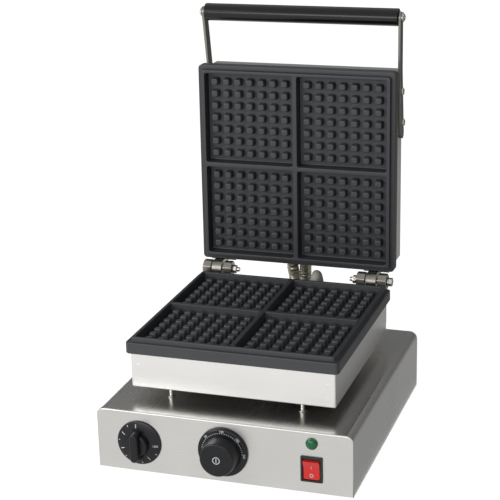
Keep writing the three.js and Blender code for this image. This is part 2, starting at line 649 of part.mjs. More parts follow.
CONDUIT.xs.forEach((x, i) => {
  const side = ['left', 'right'][i];
  const reach = CONDUIT_FITTING.lid[i];
  const [topY, topZ] = opened(HOUSING_REAR + reach + GAP, conduitEntryZ);
  const deckEnd = deckTop + CONDUIT_FITTING.deck + GAP;
  const hang = topZ - deckEnd;
  const path = smoothPath([
    [x, topY, topZ],
    [x, topY, topZ - 3],
    [x, topY, topZ - 6],
    [x, topY + 9, topZ - 0.42 * hang],
    [x, topY - 5, deckEnd + 0.34 * hang],
    [x, CONDUIT.deckY, deckEnd + 6],
    [x, CONDUIT.deckY, deckEnd + 3],
    [x, CONDUIT.deckY, deckEnd],
  ]);
  add(fixed, `conduit_${side}`, tube(path, CONDUIT.radius, 22, 10), 'hose');

  const fitting = (length) => {
    const { radius } = CONDUIT_FITTING;
    const nut = [[0, GAP], [radius, GAP], [radius, 7], [7.9, 8]];
    return turned([...nut, [7.9, length], [0, length]], 14);
  };
  const lidFitting = fitting(reach).rotateX(-Math.PI / 2).translate(x, HOUSING_REAR, conduitEntryZ);
  add(lidParts, `conduit_lid_fitting_${side}`, lidFitting, 'zinc');
  const deckFitting = fitting(CONDUIT_FITTING.deck).translate(x, CONDUIT.deckY, deckTop);
  add(fixed, `conduit_deck_fitting_${side}`, deckFitting, 'zinc');
});

// The lower element's leads, in a smooth sleeve that loops from the deck into
// the lower housing's rear wall
function leadSleeve() {
  const { x, deckY, crown } = SLEEVE;
  const legs = [deckY, deckY - 22];
  const path = smoothPath([
    [x, legs[0], deckTop + 10 + GAP],
    [x, legs[0], deckTop + 14],
    [x, legs[0], crown - 40],
    [x, legs[0], crown - 14],
    [x, (legs[0] + legs[1]) / 2, crown],
    [x, legs[1], crown - 14],
    [x, legs[1], crown - 28],
    [x, legs[1] - 5, sleeveEntry.z + 3],
    [x, sleeveEntry.y - 2, sleeveEntry.z],
  ]);
  return tube(path, SLEEVE.radius, 28, 8);
}

const sleeveNut = turned([[0, GAP], [9, GAP], [9, 5], [7.5, 6], [7.5, 10], [0, 10]], 6);
add(fixed, 'lead_sleeve', leadSleeve(), 'sleeve');
add(fixed, 'lead_sleeve_fitting', sleeveNut.translate(SLEEVE.x, SLEEVE.deckY, deckTop), 'zinc');

// -------------------------------------------------------------------- origin

object.updateMatrixWorld(true);
const box = new THREE.Box3().setFromObject(object);
const middle = box.getCenter(new THREE.Vector3());
object.position.set(-middle.x, -middle.y, -box.min.z);

export default object;
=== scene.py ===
import json
import math

import bmesh
import bpy
from mathutils import Matrix, Vector


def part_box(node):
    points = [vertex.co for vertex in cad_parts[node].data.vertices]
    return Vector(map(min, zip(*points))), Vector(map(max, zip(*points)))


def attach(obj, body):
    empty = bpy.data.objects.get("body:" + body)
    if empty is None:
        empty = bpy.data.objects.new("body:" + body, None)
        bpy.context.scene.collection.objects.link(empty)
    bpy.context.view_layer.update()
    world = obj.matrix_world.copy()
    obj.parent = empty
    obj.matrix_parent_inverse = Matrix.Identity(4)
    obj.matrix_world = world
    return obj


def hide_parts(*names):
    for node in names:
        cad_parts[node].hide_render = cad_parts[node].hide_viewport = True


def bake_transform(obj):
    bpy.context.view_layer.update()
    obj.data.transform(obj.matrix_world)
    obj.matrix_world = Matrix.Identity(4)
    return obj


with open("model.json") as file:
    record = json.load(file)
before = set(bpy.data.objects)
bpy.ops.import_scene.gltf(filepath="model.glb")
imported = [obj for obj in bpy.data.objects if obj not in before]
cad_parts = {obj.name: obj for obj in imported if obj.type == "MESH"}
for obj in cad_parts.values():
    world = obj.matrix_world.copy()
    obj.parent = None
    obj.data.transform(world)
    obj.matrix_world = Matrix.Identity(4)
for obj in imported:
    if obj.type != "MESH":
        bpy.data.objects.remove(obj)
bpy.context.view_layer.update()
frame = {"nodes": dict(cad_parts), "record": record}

bl_info = {
    "name": "Four-Square Waffle Baker",
    "version": (1, 0, 0),
    "blender": (4, 5, 0),
    "location": "3D View > Sidebar > Waffle Baker",
    "description": "Builds the visible pieces and finishes of a four-square waffle baker",
    "category": "Add Mesh",
}

MM = 0.001
TURN = 2 * math.pi

# ------------------------------------------------------------- where things are
# All lengths below are in millimetres, in the frame of the packed model.


def corners(node):
    """Lowest and highest corner of a CAD node at rest, in millimetres."""
    low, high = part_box(node)
    return low / MM, high / MM


def middle(node):
    low, high = corners(node)
    return (low + high) / 2


HINGE = Vector(frame["record"]["behaviour"]["joints"][0]["pos_m"]) / MM
OPEN_ANGLE = math.radians(90.6)
PANEL_FACE = -corners("front_panel")[0].y  # how far forward the front panel stands
DECK = corners("base_wrap")[1].z
FLOOR_OF_SHEET = corners("base_wrap")[0].z
REAR_FACE = corners("rear_panel")[1].y
FEET = 4  # the feet hold the base sheet this far above the worktop
LID_BASE = 175.5  # height of the upper case's lower edge with the lid closed
LOWER_RIM = 150.5 + FEET  # height of the lower casting's rim
CASTING_HEIGHT = 19.2
CASE_REAR = 287.5 - PANEL_FACE
SLEEVE_X = 25.5
HOSE_DECK_Y = 321 - PANEL_FACE
SLEEVE_DECK_Y = 322 - PANEL_FACE

FACING = {
    "up": Matrix.Identity(4),
    "down": Matrix.Rotation(math.pi, 4, "X"),
    "front": Matrix.Rotation(math.pi / 2, 4, "X"),  # drawn in X and Z, raised towards -Y
    "back": Matrix.Rotation(-math.pi / 2, 4, "X"),
    "right": Matrix(((0, 0, 1, 0), (1, 0, 0, 0), (0, 1, 0, 0), (0, 0, 0, 1))),  # drawn in Y and Z
    "left": Matrix(((0, 0, -1, 0), (-1, 0, 0, 0), (0, 1, 0, 0), (0, 0, 0, 1))),
}


def place(x=0, y=0, z=0, facing="up"):
    """A matrix from a drawing in millimetres to its place in the scene."""
    return Matrix.Translation(Vector((x, y, z)) * MM) @ FACING[facing] @ Matrix.Scale(MM, 4)


# The lid is drawn closed, and this turns it to where it rests open
LID = (Matrix.Translation(HINGE * MM) @ Matrix.Rotation(-OPEN_ANGLE, 4, "X")
       @ Matrix.Translation(-HINGE * MM))

# ------------------------------------------------------------------ settings


class BakerSizes(bpy.types.PropertyGroup):
    peg_count: bpy.props.IntProperty(
        name="Pegs per side", description="Pegs along one side of a waffle", default=7, min=2)
    peg_pitch: bpy.props.FloatProperty(
        name="Peg pitch", description="Distance between pegs", default=15.5 * MM,
        subtype="DISTANCE", unit="LENGTH", precision=4)
    peg_top: bpy.props.FloatProperty(
        name="Peg top", description="Width of a peg at its top", default=8.2 * MM,
        subtype="DISTANCE", unit="LENGTH", precision=4)
    peg_foot: bpy.props.FloatProperty(
        name="Peg foot", description="Width of a peg at its foot", default=9.4 * MM,
        subtype="DISTANCE", unit="LENGTH", precision=4)
    peg_height: bpy.props.FloatProperty(
        name="Peg height", description="Height of a peg over the cavity floor", default=9.2 * MM,
        subtype="DISTANCE", unit="LENGTH", precision=4)
    rib_pitch: bpy.props.FloatProperty(
        name="Hose rib pitch", description="Distance between the ribs of a hose", default=3.3 * MM,
        subtype="DISTANCE", unit="LENGTH", precision=4)


class BakerColours(bpy.types.PropertyGroup):
    steel: bpy.props.StringProperty(
        name="Stainless", description="Colour of the sheet steel, sRGB hex", default="#D2D1CE")
    casting: bpy.props.StringProperty(
        name="Non-stick coat", description="Colour of the plates, sRGB hex", default="#2C2D2F")
    lamp: bpy.props.StringProperty(
        name="Lamp", description="Colour of the pilot lamp, sRGB hex", default="#006B42")
    rocker: bpy.props.StringProperty(
        name="Rocker", description="Colour of the rocker switch, sRGB hex", default="#E3170C")


# -------------------------------------------------------------------- shaping


def circle(radius, sides=48):
    return [(radius * math.cos(TURN * i / sides), radius * math.sin(TURN * i / sides))
            for i in range(sides)]


def arc(cx, cy, radius, start, end, steps=8):
    """Points along a circle, angles in degrees."""
    angles = [math.radians(start + (end - start) * i / steps) for i in range(steps + 1)]
    return [(cx + radius * math.cos(a), cy + radius * math.sin(a)) for a in angles]


def rounded_rectangle(width, height, radius, steps=6):
    w, h, r = width / 2, height / 2, max(radius, 0.05)
    return (arc(w - r, r - h, r, -90, 0, steps) + arc(w - r, h - r, r, 0, 90, steps)
            + arc(r - w, h - r, r, 90, 180, steps) + arc(r - w, r - h, r, 180, 270, steps))


def at_height(outline, height):
    return [Vector((x, y, height)) for x, y in outline]


def loft(bm, rings, where, material=0, ends=(True, True)):
    """A skin over rings with equal numbers of points; a ring of one point is a pole."""
    rows = [[bm.verts.new(where @ Vector(p)) for p in ring] for ring in rings]
    for a, b in zip(rows, rows[1:]):
        count = max(len(a), len(b))
        for i in range(count):
            j = (i + 1) % count
            face = [a[i % len(a)], a[j % len(a)], b[j % len(b)], b[i % len(b)]]
            bm.faces.new(list(dict.fromkeys(face))).material_index = material
    for row, closed in ((rows[0], ends[0]), (rows[-1], ends[1])):
        if closed and len(row) > 2:
            bm.faces.new(row).material_index = material
    return rows


def turned(bm, profile, where, sides=48, material=0):
    """A lathe shape from (radius, height) pairs; radius 0 closes it to a pole."""
    rings = [at_height(circle(r, sides), h) if r else [Vector((0, 0, h))] for r, h in profile]
    loft(bm, rings, where, material)


def prism(bm, outline, where, low, high, edge=0.0, material=0, steps=2):
    """An outline given a height, its sharp edges rounded by edge millimetres."""
    part = bmesh.new()
    loft(part, [at_height(outline, low), at_height(outline, high)], where, material)
    bmesh.ops.recalc_face_normals(part, faces=part.faces)
    if edge:
        sharp = [e for e in part.edges if e.calc_face_angle(0) > math.radians(35)]
        bmesh.ops.bevel(part, geom=sharp, offset=edge * MM, segments=steps, profile=0.5,
                        affect="EDGES", clamp_overlap=True, material=-1)
    add_shape(bm, part)


def add_shape(bm, part):
    mesh = bpy.data.meshes.new("part")
    part.to_mesh(mesh)
    part.free()
    bm.from_mesh(mesh)
    bpy.data.meshes.remove(mesh)


def along_path(bm, points, outline, where, material=0):
    """A section carried along points that lie in the YZ plane."""
    rings = []
    for i, p in enumerate(points):
        before, after = points[max(i - 1, 0)], points[min(i + 1, len(points) - 1)]
        tangent = (after - before).normalized()
        across = Vector((1, 0, 0))
        up = tangent.cross(across)
        rings.append([p + across * a + up * b for a, b in outline])
    loft(bm, rings, where, material)


def smooth_path(points, steps):
    """Evenly spaced points on a smooth curve through the given ones."""
    pts = [Vector(p) for p in points]
    pts = [2 * pts[0] - pts[1]] + pts + [2 * pts[-1] - pts[-2]]
    fine = []
    for a, b, c, d in zip(pts, pts[1:], pts[2:], pts[3:]):
        knots = [0.0]
        for u, v in ((a, b), (b, c), (c, d)):
            knots.append(knots[-1] + max((v - u).length, 1e-6) ** 0.5)
        for i in range(24):
            t = knots[1] + (knots[2] - knots[1]) * i / 24
            fine.append(on_spline((a, b, c, d), knots, t))
    fine.append(pts[-2])
    lengths = [0.0]
    for u, v in zip(fine, fine[1:]):
        lengths.append(lengths[-1] + (v - u).length)
    out, k = [], 0
    for i in range(steps + 1):
        goal = lengths[-1] * i / steps
        while k < len(fine) - 2 and lengths[k + 1] < goal:
            k += 1
        share = (goal - lengths[k]) / max(lengths[k + 1] - lengths[k], 1e-9)
        out.append(fine[k].lerp(fine[k + 1], min(share, 1)))
    return out


def on_spline(points, knots, t):
    """One point of a centripetal Catmull-Rom curve."""
    row = list(points)
    for level in (1, 2, 3):
        new = []
        for i in range(len(row) - 1):
            low = knots[i] if level < 3 else knots[1]
            high = knots[i + level] if level < 3 else knots[2]
            if level == 2:
                low, high = knots[i], knots[i + 2]
            share = (t - low) / (high - low)
            new.append(row[i] * (1 - share) + row[i + 1] * share)
        row = new
    return row[0]


def finished_mesh(holder):
    """The holder's mesh with its modifiers made real."""
    graph = bpy.context.evaluated_depsgraph_get()
    mesh = bpy.data.meshes.new_from_object(
        holder.evaluated_get(graph), preserve_all_data_layers=True, depsgraph=graph)
    return mesh


def hold(name, mesh):
    holder = bpy.data.objects.new(name, mesh)
    bpy.context.scene.collection.objects.link(holder)
    return holder


def settle(name, mesh, body, replaced=(), smooth_angle=38):
    """Makes a mesh one of the object's pieces, with clean shading."""
    mesh.shade_smooth()
    mesh.set_sharp_from_angle(angle=math.radians(smooth_angle))
    holder = hold(name, mesh)
    weight = holder.modifiers.new("Face weight", "WEIGHTED_NORMAL")
    weight.keep_sharp = True
    done = finished_mesh(holder)
    holder.modifiers.clear()
    holder.data = done
    bpy.data.meshes.remove(mesh)
    done.name = name
    if body:
        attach(holder, body)
    if replaced:
        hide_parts(*replaced)
    return holder


def piece(name, bm, materials, body, replaced=(), smooth_angle=38):
    bmesh.ops.recalc_face_normals(bm, faces=bm.faces)
    mesh = bpy.data.meshes.new(name)
    bm.to_mesh(mesh)
    bm.free()
    for material in materials:
        mesh.materials.append(FINISH[material])
    return settle(name, mesh, body, replaced, smooth_angle)


# ------------------------------------------------------------- geometry nodes


def add_node(tree, kind, inputs=None, **settings):
    """Adds a node with its settings; an input takes a value or another node's output."""
    made = tree.nodes.new(kind)
    for name, value in settings.items():
        setattr(made, name, value)
    for key, value in (inputs or {}).items():
        if isinstance(value, bpy.types.NodeSocket):
            tree.links.new(value, made.inputs[key])
        else:
            made.inputs[key].default_value = value
    return made


def new_tree(name, sockets):
    """A geometry tree with named inputs, given as (name, socket type, default)."""
    tree = bpy.data.node_groups.new(name, "GeometryNodeTree")
    tree.interface.new_socket("Geometry", in_out="INPUT", socket_type="NodeSocketGeometry")
    for label, kind, default in sockets:
        socket = tree.interface.new_socket(label, in_out="INPUT", socket_type=kind)
        if default is not None:
            socket.default_value = default
    tree.interface.new_socket("Geometry", in_out="OUTPUT", socket_type="NodeSocketGeometry")
    return tree, add_node(tree, "NodeGroupInput").outputs


def close_tree(tree, geometry, material):
    real = add_node(tree, "GeometryNodeRealizeInstances", {"Geometry": geometry})
    coat = add_node(tree, "GeometryNodeSetMaterial", {"Geometry": real.outputs[0], "Material": material})
    add_node(tree, "NodeGroupOutput", {"Geometry": coat.outputs[0]})
    return tree


def at_points_tree():
    """Sets one shape on every vertex of the mesh, each turned a step further."""
    tree, given = new_tree("Set at points", [
        ("Shape", "NodeSocketObject", None),
        ("Finish", "NodeSocketMaterial", None),
        ("First angle", "NodeSocketFloat", 0.0),
        ("Step angle", "NodeSocketFloat", 0.0),
    ])
    shape = add_node(tree, "GeometryNodeObjectInfo", {"Object": given["Shape"]})
    index = add_node(tree, "GeometryNodeInputIndex")
    angle = add_node(tree, "ShaderNodeMath", {
        0: index.outputs[0], 1: given["Step angle"], 2: given["First angle"],
    }, operation="MULTIPLY_ADD")
    turn = add_node(tree, "ShaderNodeCombineXYZ", {"Z": angle.outputs[0]})
    placed = add_node(tree, "GeometryNodeInstanceOnPoints", {
        "Points": given["Geometry"], "Instance": shape.outputs["Geometry"],
        "Rotation": turn.outputs[0],
    })
    return close_tree(tree, placed.outputs[0], given["Finish"])


def peg_tree():
    """Four square fields of pegs, one for each waffle."""
    tree, given = new_tree("Peg fields", [
        ("Shape", "NodeSocketObject", None),
        ("Finish", "NodeSocketMaterial", None),
        ("Pegs per side", "NodeSocketInt", 7),
        ("Pitch", "NodeSocketFloat", 0.0155),
        ("Field spacing", "NodeSocketFloat", 0.1223),
    ])
    shape = add_node(tree, "GeometryNodeObjectInfo", {"Object": given["Shape"]})
    gaps = add_node(tree, "ShaderNodeMath", {0: given["Pegs per side"], 1: 1.0}, operation="SUBTRACT")
    size = add_node(tree, "ShaderNodeMath", {0: gaps.outputs[0], 1: given["Pitch"]}, operation="MULTIPLY")
    one = add_node(tree, "GeometryNodeMeshGrid", {
        "Size X": size.outputs[0], "Size Y": size.outputs[0],
        "Vertices X": given["Pegs per side"], "Vertices Y": given["Pegs per side"],
    })
    four = add_node(tree, "GeometryNodeMeshGrid", {
        "Size X": given["Field spacing"], "Size Y": given["Field spacing"],
        "Vertices X": 2, "Vertices Y": 2,
    })
    fields = add_node(tree, "GeometryNodeInstanceOnPoints", {
        "Points": four.outputs[0], "Instance": one.outputs[0]})
    points = add_node(tree, "GeometryNodeRealizeInstances", {"Geometry": fields.outputs[0]})
    pegs = add_node(tree, "GeometryNodeInstanceOnPoints", {
        "Points": points.outputs[0], "Instance": shape.outputs["Geometry"]})
    return close_tree(tree, pegs.outputs[0], given["Finish"])


def hose_tree():
    """A strip-wound hose: the path cut into short steps, every other one a rib."""
    tree, given = new_tree("Ribbed hose", [
        ("Finish", "NodeSocketMaterial", None),
        ("Rib pitch", "NodeSocketFloat", 0.0033),
        ("Radius", "NodeSocketFloat", 0.00775),
        ("Groove depth", "NodeSocketFloat", 0.0009),
    ])
    path = add_node(tree, "GeometryNodeMeshToCurve", {"Mesh": given["Geometry"]})
    step = add_node(tree, "ShaderNodeMath", {0: given["Rib pitch"], 1: 6.0}, operation="DIVIDE")
    cut = add_node(tree, "GeometryNodeResampleCurve", {
        "Curve": path.outputs[0], "Length": step.outputs[0]}, mode="LENGTH")
    index = add_node(tree, "GeometryNodeInputIndex")
    turn = add_node(tree, "ShaderNodeMath", {0: index.outputs[0], 1: TURN / 6}, operation="MULTIPLY")
    wave = add_node(tree, "ShaderNodeMath", {0: turn.outputs[0]}, operation="COSINE")
    low = add_node(tree, "ShaderNodeMath", {0: given["Radius"], 1: given["Groove depth"]},
                   operation="SUBTRACT")
    crest = add_node(tree, "ShaderNodeMapRange", {
        "Value": wave.outputs[0], "From Min": -0.6, "From Max": 0.4,
        "To Min": low.outputs[0], "To Max": given["Radius"],
    })
    section = add_node(tree, "GeometryNodeCurvePrimitiveCircle", {"Resolution": 28, "Radius": 1.0})
    sized = add_node(tree, "GeometryNodeSetCurveRadius", {
        "Curve": cut.outputs[0], "Radius": crest.outputs[0]})
    skin_inputs = {"Curve": sized.outputs[0], "Profile Curve": section.outputs[0], "Fill Caps": True}
    skin = add_node(tree, "GeometryNodeCurveToMesh", skin_inputs)
    if "Scale" in skin.inputs:
        radius = add_node(tree, "GeometryNodeInputRadius")
        tree.links.new(radius.outputs[0], skin.inputs["Scale"])
    return close_tree(tree, skin.outputs[0], given["Finish"])


def grow(tree, host, values):
    """Runs a tree on a host mesh with its inputs set by name, and returns the plain mesh."""
    holder = hold("host", host)
    modifier = holder.modifiers.new("Grow", "NODES")
    modifier.node_group = tree
    for item in tree.interface.items_tree:
        if item.item_type == "SOCKET" and item.in_out == "INPUT" and item.name in values:
            modifier[item.identifier] = values[item.name]
    mesh = finished_mesh(holder)
    bpy.data.objects.remove(holder)
    return mesh


def repeat(tree, shape, points, finish, **values):
    """A shape drawn by a function of a bmesh, set at points given in metres."""
    bm = bmesh.new()
    shape(bm)
    bmesh.ops.recalc_face_normals(bm, faces=bm.faces)
    mesh = bpy.data.meshes.new("shape")
    bm.to_mesh(mesh)
    bm.free()
    mesh.shade_smooth()
    pattern = hold("pattern", mesh)
    host = bpy.data.meshes.new("points")
    host.from_pydata([tuple(p) for p in points], [], [])
    made = grow(tree, host, {"Shape": pattern, "Finish": FINISH[finish], **values})
    bpy.data.objects.remove(pattern)
    return made


# ------------------------------------------------------------------ finishes

FINISH = {}


def linear(colour):
    """sRGB hex to linear RGBA."""
    channels = [int(colour[i:i + 2], 16) / 255 for i in (1, 3, 5)]
    return (*[c / 12.92 if c <= 0.04045 else ((c + 0.055) / 1.055) ** 2.4 for c in channels], 1.0)


def finish(name, colour, second, metallic, roughness, grain, relief, blotch=60, edge_wear_and_highlight=None,
           detail=4.0, specular=0.5):
    """A surface from two colours mixed by a grain of the given size in mm along X, Y and Z.

    roughness runs from the first value to the second over the grain and the larger
    blotches. relief is the depth of the grain in mm. wear is a colour and the range of
    edge sharpness over which it shows through.
    """
    material = bpy.data.materials.new(name)
    material.use_nodes = True
    tree = material.node_tree
    tree.nodes.clear()
    spot = add_node(tree, "ShaderNodeTexCoord").outputs["Object"]
    fine_scale = [1 / (size * MM) for size in grain]
    fine_at = add_node(tree, "ShaderNodeMapping", {"Vector": spot, "Scale": fine_scale})
    fine = add_node(tree, "ShaderNodeTexNoise", {
        "Vector": fine_at.outputs[0], "Scale": 1.0, "Detail": detail, "Roughness": 0.6})
    broad = add_node(tree, "ShaderNodeTexNoise", {
        "Vector": spot, "Scale": 1 / (blotch * MM), "Detail": 3.0, "Roughness": 0.5})
    both = add_node(tree, "ShaderNodeMix", {0: 0.5, 2: fine.outputs["Fac"], 3: broad.outputs["Fac"]},
                    data_type="FLOAT")
    spread = add_node(tree, "ShaderNodeMapRange", {
        "Value": both.outputs[0], "From Min": 0.32, "From Max": 0.68})
    tint = add_node(tree, "ShaderNodeMix", {
        0: spread.outputs[0], 6: linear(colour), 7: linear(second)}, data_type="RGBA")
    rough = add_node(tree, "ShaderNodeMapRange", {
        "Value": both.outputs[0], "From Min": 0.32, "From Max": 0.68,
        "To Min": roughness[0], "To Max": roughness[1]})
    base, gloss = tint.outputs[2], rough.outputs[0]
    # Sharp edges take the edge colour: wear where the steel rubs, and on the coated casting partly painted
    # highlight
    if edge_wear_and_highlight:
        worn_and_lit_colour, low, high = edge_wear_and_highlight
        edge = add_node(tree, "ShaderNodeNewGeometry").outputs["Pointiness"]
        rubbed_and_lit = add_node(tree, "ShaderNodeMapRange", {
            "Value": edge, "From Min": low, "From Max": high})
        base = add_node(tree, "ShaderNodeMix", {
            0: rubbed_and_lit.outputs[0], 6: base, 7: linear(worn_and_lit_colour)}, data_type="RGBA").outputs[2]
    bump = add_node(tree, "ShaderNodeBump", {
        "Height": fine.outputs["Fac"], "Strength": 1.0, "Distance": relief * MM})
    shader = add_node(tree, "ShaderNodeBsdfPrincipled", {
        "Base Color": base, "Roughness": gloss, "Metallic": metallic, "Normal": bump.outputs[0]})
    shader.inputs["Specular IOR Level"].default_value = specular
    add_node(tree, "ShaderNodeOutputMaterial", {"Surface": shader.outputs[0]})
    FINISH[name] = material
    return shader


def make_finishes(colours):
    steel = colours.steel
    # Brushed 304 sheet: satin, with faint long scratches along the panel, which draw
    # reflections out across them. The scratches are about 0.4 mm so that they show.
    # Its colour is darker than the deck's and the cases' sheet: partly a duller brushing, partly painted
    # shade on the front panel
    finish("brushed_stainless_across", "#BCBBB8", "#B3B2AF", 1.0, (0.27, 0.35), (70, 0.5, 0.5), 0.0025, 90)
    finish("brushed_stainless_along", steel, "#C8C7C5", 1.0, (0.22, 0.29), (0.5, 70, 0.5), 0.001, 90)
    # Mill-finish sheet of the cases: paler and more even, with only a trace of rolling marks
    finish("mill_finish_stainless", "#D2D1CE", "#CAC9C6", 1.0, (0.3, 0.36), (60, 0.6, 0.6), 0.0012, 70)
    # Cast aluminium under a sprayed PTFE coat: a dark, even, slightly grainy satin, its sharp edges paler,
    # partly worn and partly painted highlight
    finish("ptfe_coated_casting", colours.casting, "#333437", 0.0, (0.4, 0.5), (0.5, 0.5, 0.5), 0.03,
           45, edge_wear_and_highlight=("#4A4B4E", 0.52, 0.62), specular=0.35)
    # Hot-rolled steel darkened by heat: near black, bare and bright where it rubs
    finish("heat_darkened_steel", "#292826", "#43413E", 1.0, (0.26, 0.44), (1.2, 1.2, 1.2), 0.04,
           9, edge_wear_and_highlight=("#B4B0A6", 0.52, 0.6))
    # Cold-drawn flat bar, polished lightly along its length
    finish("drawn_bar_steel", "#7D7B75", "#6A6862", 1.0, (0.32, 0.42), (0.5, 0.5, 30), 0.004, 30)
    # Zinc-plated steel: pale, slightly mottled, bright on its edges
    finish("zinc_plated_steel", "#B9B8B2", "#A3A29A", 1.0, (0.24, 0.36), (0.8, 0.8, 0.8), 0.006, 8)
    # Strip-wound steel hose: a warm grey metal, dulled between the ribs
    finish("strip_wound_hose_steel", "#A8A496", "#8C8878", 1.0, (0.28, 0.42), (0.6, 0.6, 0.6), 0.01, 7)
    # Glass-fibre sleeve: matt pale grey with the fine braid of its yarn
    finish("glass_fibre_sleeving", "#A9A9A3", "#8F8F89", 0.0, (0.7, 0.85), (0.6, 0.6, 0.6), 0.12, 12)
    # Phenolic resin, compression moulded: black with a soft shine
    finish("moulded_phenolic", "#0E0F11", "#15161A", 0.0, (0.26, 0.36), (0.35, 0.35, 0.35), 0.008, 25,
           specular=0.25)
    # Lacquered hard grip: deep black, glossy, with a long clear highlight
    finish("lacquered_grip", "#050506", "#0A0A0B", 0.0, (0.16, 0.22), (25, 0.6, 0.6), 0.001, 50,
           specular=0.3)
    # Injection moulded nylon: black, a little greyer and duller than the knobs
    finish("moulded_nylon", "#1B1F20", "#23282A", 0.0, (0.35, 0.48), (0.4, 0.4, 0.4), 0.015, 20,
           specular=0.3)
    # Clear red polycarbonate: saturated and shiny
    red = finish("red_polycarbonate", colours.rocker, "#CE1209", 0.0, (0.18, 0.26), (3, 3, 3), 0.002, 9)
    red.inputs["Subsurface Weight"].default_value = 0.25
    red.inputs["Subsurface Radius"].default_value = (0.002, 0.0004, 0.0003)
    # Tinted acrylic lens over a lamp that is off: deep green
    finish("green_acrylic_lens", colours.lamp, "#005A36", 0.0, (0.1, 0.16), (2.5, 2.5, 2.5), 0.002, 6,
           specular=0.35)
    # Pad-printed white marks
    finish("white_pad_print", "#C9CDD0", "#B9BDC1", 0.0, (0.5, 0.6), (0.3, 0.3, 0.3), 0.002, 10)
    # Moulded rubber: black and matt
    finish("moulded_rubber", "#151515", "#1F1F1F", 0.0, (0.7, 0.85), (0.5, 0.5, 0.5), 0.03, 15)
    # Glazed porcelain of the terminal block: cream white
    finish("glazed_porcelain", "#E2DED2", "#D3CEC0", 0.0, (0.2, 0.3), (1.5, 1.5, 1.5), 0.004, 20)
    # Heater sheath: matt, oxidised grey-brown alloy
    finish("oxidised_heater_sheath", "#4B4640", "#5D564D", 1.0, (0.5, 0.65), (0.8, 0.8, 0.8), 0.01, 14)
    # Copper capillary tube, tarnished
    finish("tarnished_copper", "#A8623F", "#7F4B33", 1.0, (0.35, 0.5), (1, 1, 1), 0.006, 18)
    # Moulded thermoset of the timer and thermostat bodies: dull ivory
    finish("moulded_thermoset", "#BDB49E", "#AAA18B", 0.0, (0.45, 0.6), (0.5, 0.5, 0.5), 0.01, 25)


SLOT_FINISH = {
    "stainless": "brushed_stainless_across", "nonstick_casting": "ptfe_coated_casting",
    "dark_steel": "heat_darkened_steel", "bar_steel": "drawn_bar_steel",
    "rubber": "moulded_rubber", "knob_black": "moulded_phenolic", "grip_black": "lacquered_grip",
    "black_plastic": "moulded_nylon", "rocker_red": "red_polycarbonate",
    "lamp_green": "green_acrylic_lens", "hose_steel": "strip_wound_hose_steel",
    "sleeve_grey": "glass_fibre_sleeving", "control_body": "moulded_thermoset",
    "porcelain": "glazed_porcelain", "heater_sheath": "oxidised_heater_sheath",
    "copper_tube": "tarnished_copper", "zinc_steel": "zinc_plated_steel",
}

# ---------------------------------------------------------------- base shell

HALF_BASE = 155.0
BASE_BEND = 10.0
SHEET = 1.5


def base_arch(inset):
    """The base seen from the front, with its two large bends."""
    side, bottom, top = HALF_BASE - inset, FLOOR_OF_SHEET + inset, DECK - inset
    bend = BASE_BEND - inset
    return ([(-side, bottom), (side, bottom)]
            + arc(side - bend, top - bend, bend, 0, 90, 10)
            + arc(bend - side, top - bend, bend, 90, 180, 10))


def build_base_shell(sizes):
    front = PANEL_FACE
    bm = bmesh.new()
    outer = base_arch(0)[2:]
    inner = base_arch(SHEET)[2:]
    lip = HALF_BASE - 12
    low = FLOOR_OF_SHEET
    section = ([(lip, low), (HALF_BASE, low)] + outer + [(-HALF_BASE, low), (-lip, low)]
               + [(-lip, low + SHEET), (SHEET - HALF_BASE, low + SHEET)] + inner[::-1]
               + [(HALF_BASE - SHEET, low + SHEET), (lip, low + SHEET)])
    prism(bm, section, place(facing="front"), -REAR_FACE + SHEET + 0.1, front - SHEET - 0.1)
    piece("base_cover", bm, ["brushed_stainless_along"], "base", ["base_wrap"])

    # The front panel's edge rolls back to the cover in a tight bend
    bm = bmesh.new()
    roll = 1.5
    rings = [at_height(base_arch(0), front - SHEET - 0.15)]
    for i in range(5):
        a = math.radians(22.5 * i)
        rings.append(at_height(base_arch(roll * (1 - math.cos(a))), front - roll * (1 - math.sin(a))))
    loft(bm, rings, place(facing="front"))
    piece("control_panel", bm, ["brushed_stainless_across"], "base", ["front_panel"])

    # Where the rolled edge laps over itself on the two top bends
    bm = bmesh.new()
    for side in (-1, 1):
        rings = []
        for i in range(9):
            a = math.radians(18 + 54 * i / 8)
            reach = 1.2 + 5.2 * i / 8
            ring = []
            for lift, depth in ((-0.3, 0.6), (0.45, 0.6), (0.45, reach), (-0.3, reach)):
                r = BASE_BEND + lift
                x = side * (HALF_BASE - BASE_BEND + r * math.cos(a))
                ring.append(Vector((x, depth - front, DECK - BASE_BEND + r * math.sin(a))))
            rings.append(ring)
        loft(bm, rings, place())
    piece("corner_laps", bm, ["brushed_stainless_across"], "base")


# ------------------------------------------------------------------ housings

HOUSING_WIDTH, HOUSING_LENGTH, HOUSING_HEIGHT = 249.2, 249.6, 43.0
HOUSING_Y = middle("lower_housing").y


def housing(bm, where):
    """A folded sheet box with rounded corners, its open side up."""
    def ring(inset, height, corner=2.5):
        return at_height(rounded_rectangle(
            HOUSING_WIDTH - 2 * inset, HOUSING_LENGTH - 2 * inset, max(corner - inset, 0.4)), height)
    bend = 2.0
    rings = []
    for i in range(5):
        a = math.radians(22.5 * i)
        rings.append(ring(bend * (1 - math.sin(a)), bend * (1 - math.cos(a))))
    rings += [ring(0, HOUSING_HEIGHT - 0.3), ring(0.3, HOUSING_HEIGHT), ring(1.2, HOUSING_HEIGHT)]
    rings += [ring(SHEET, HOUSING_HEIGHT - 0.3), ring(SHEET, SHEET)]
    loft(bm, rings, where)


def spot_weld(bm):
    weld = [(0, -0.4), (2.3, -0.4), (2.2, 0.02), (1.8, 0.14), (1.3, 0.1), (0.6, 0.04), (0, 0.03)]
    turned(bm, weld, place(facing="front"), 16)


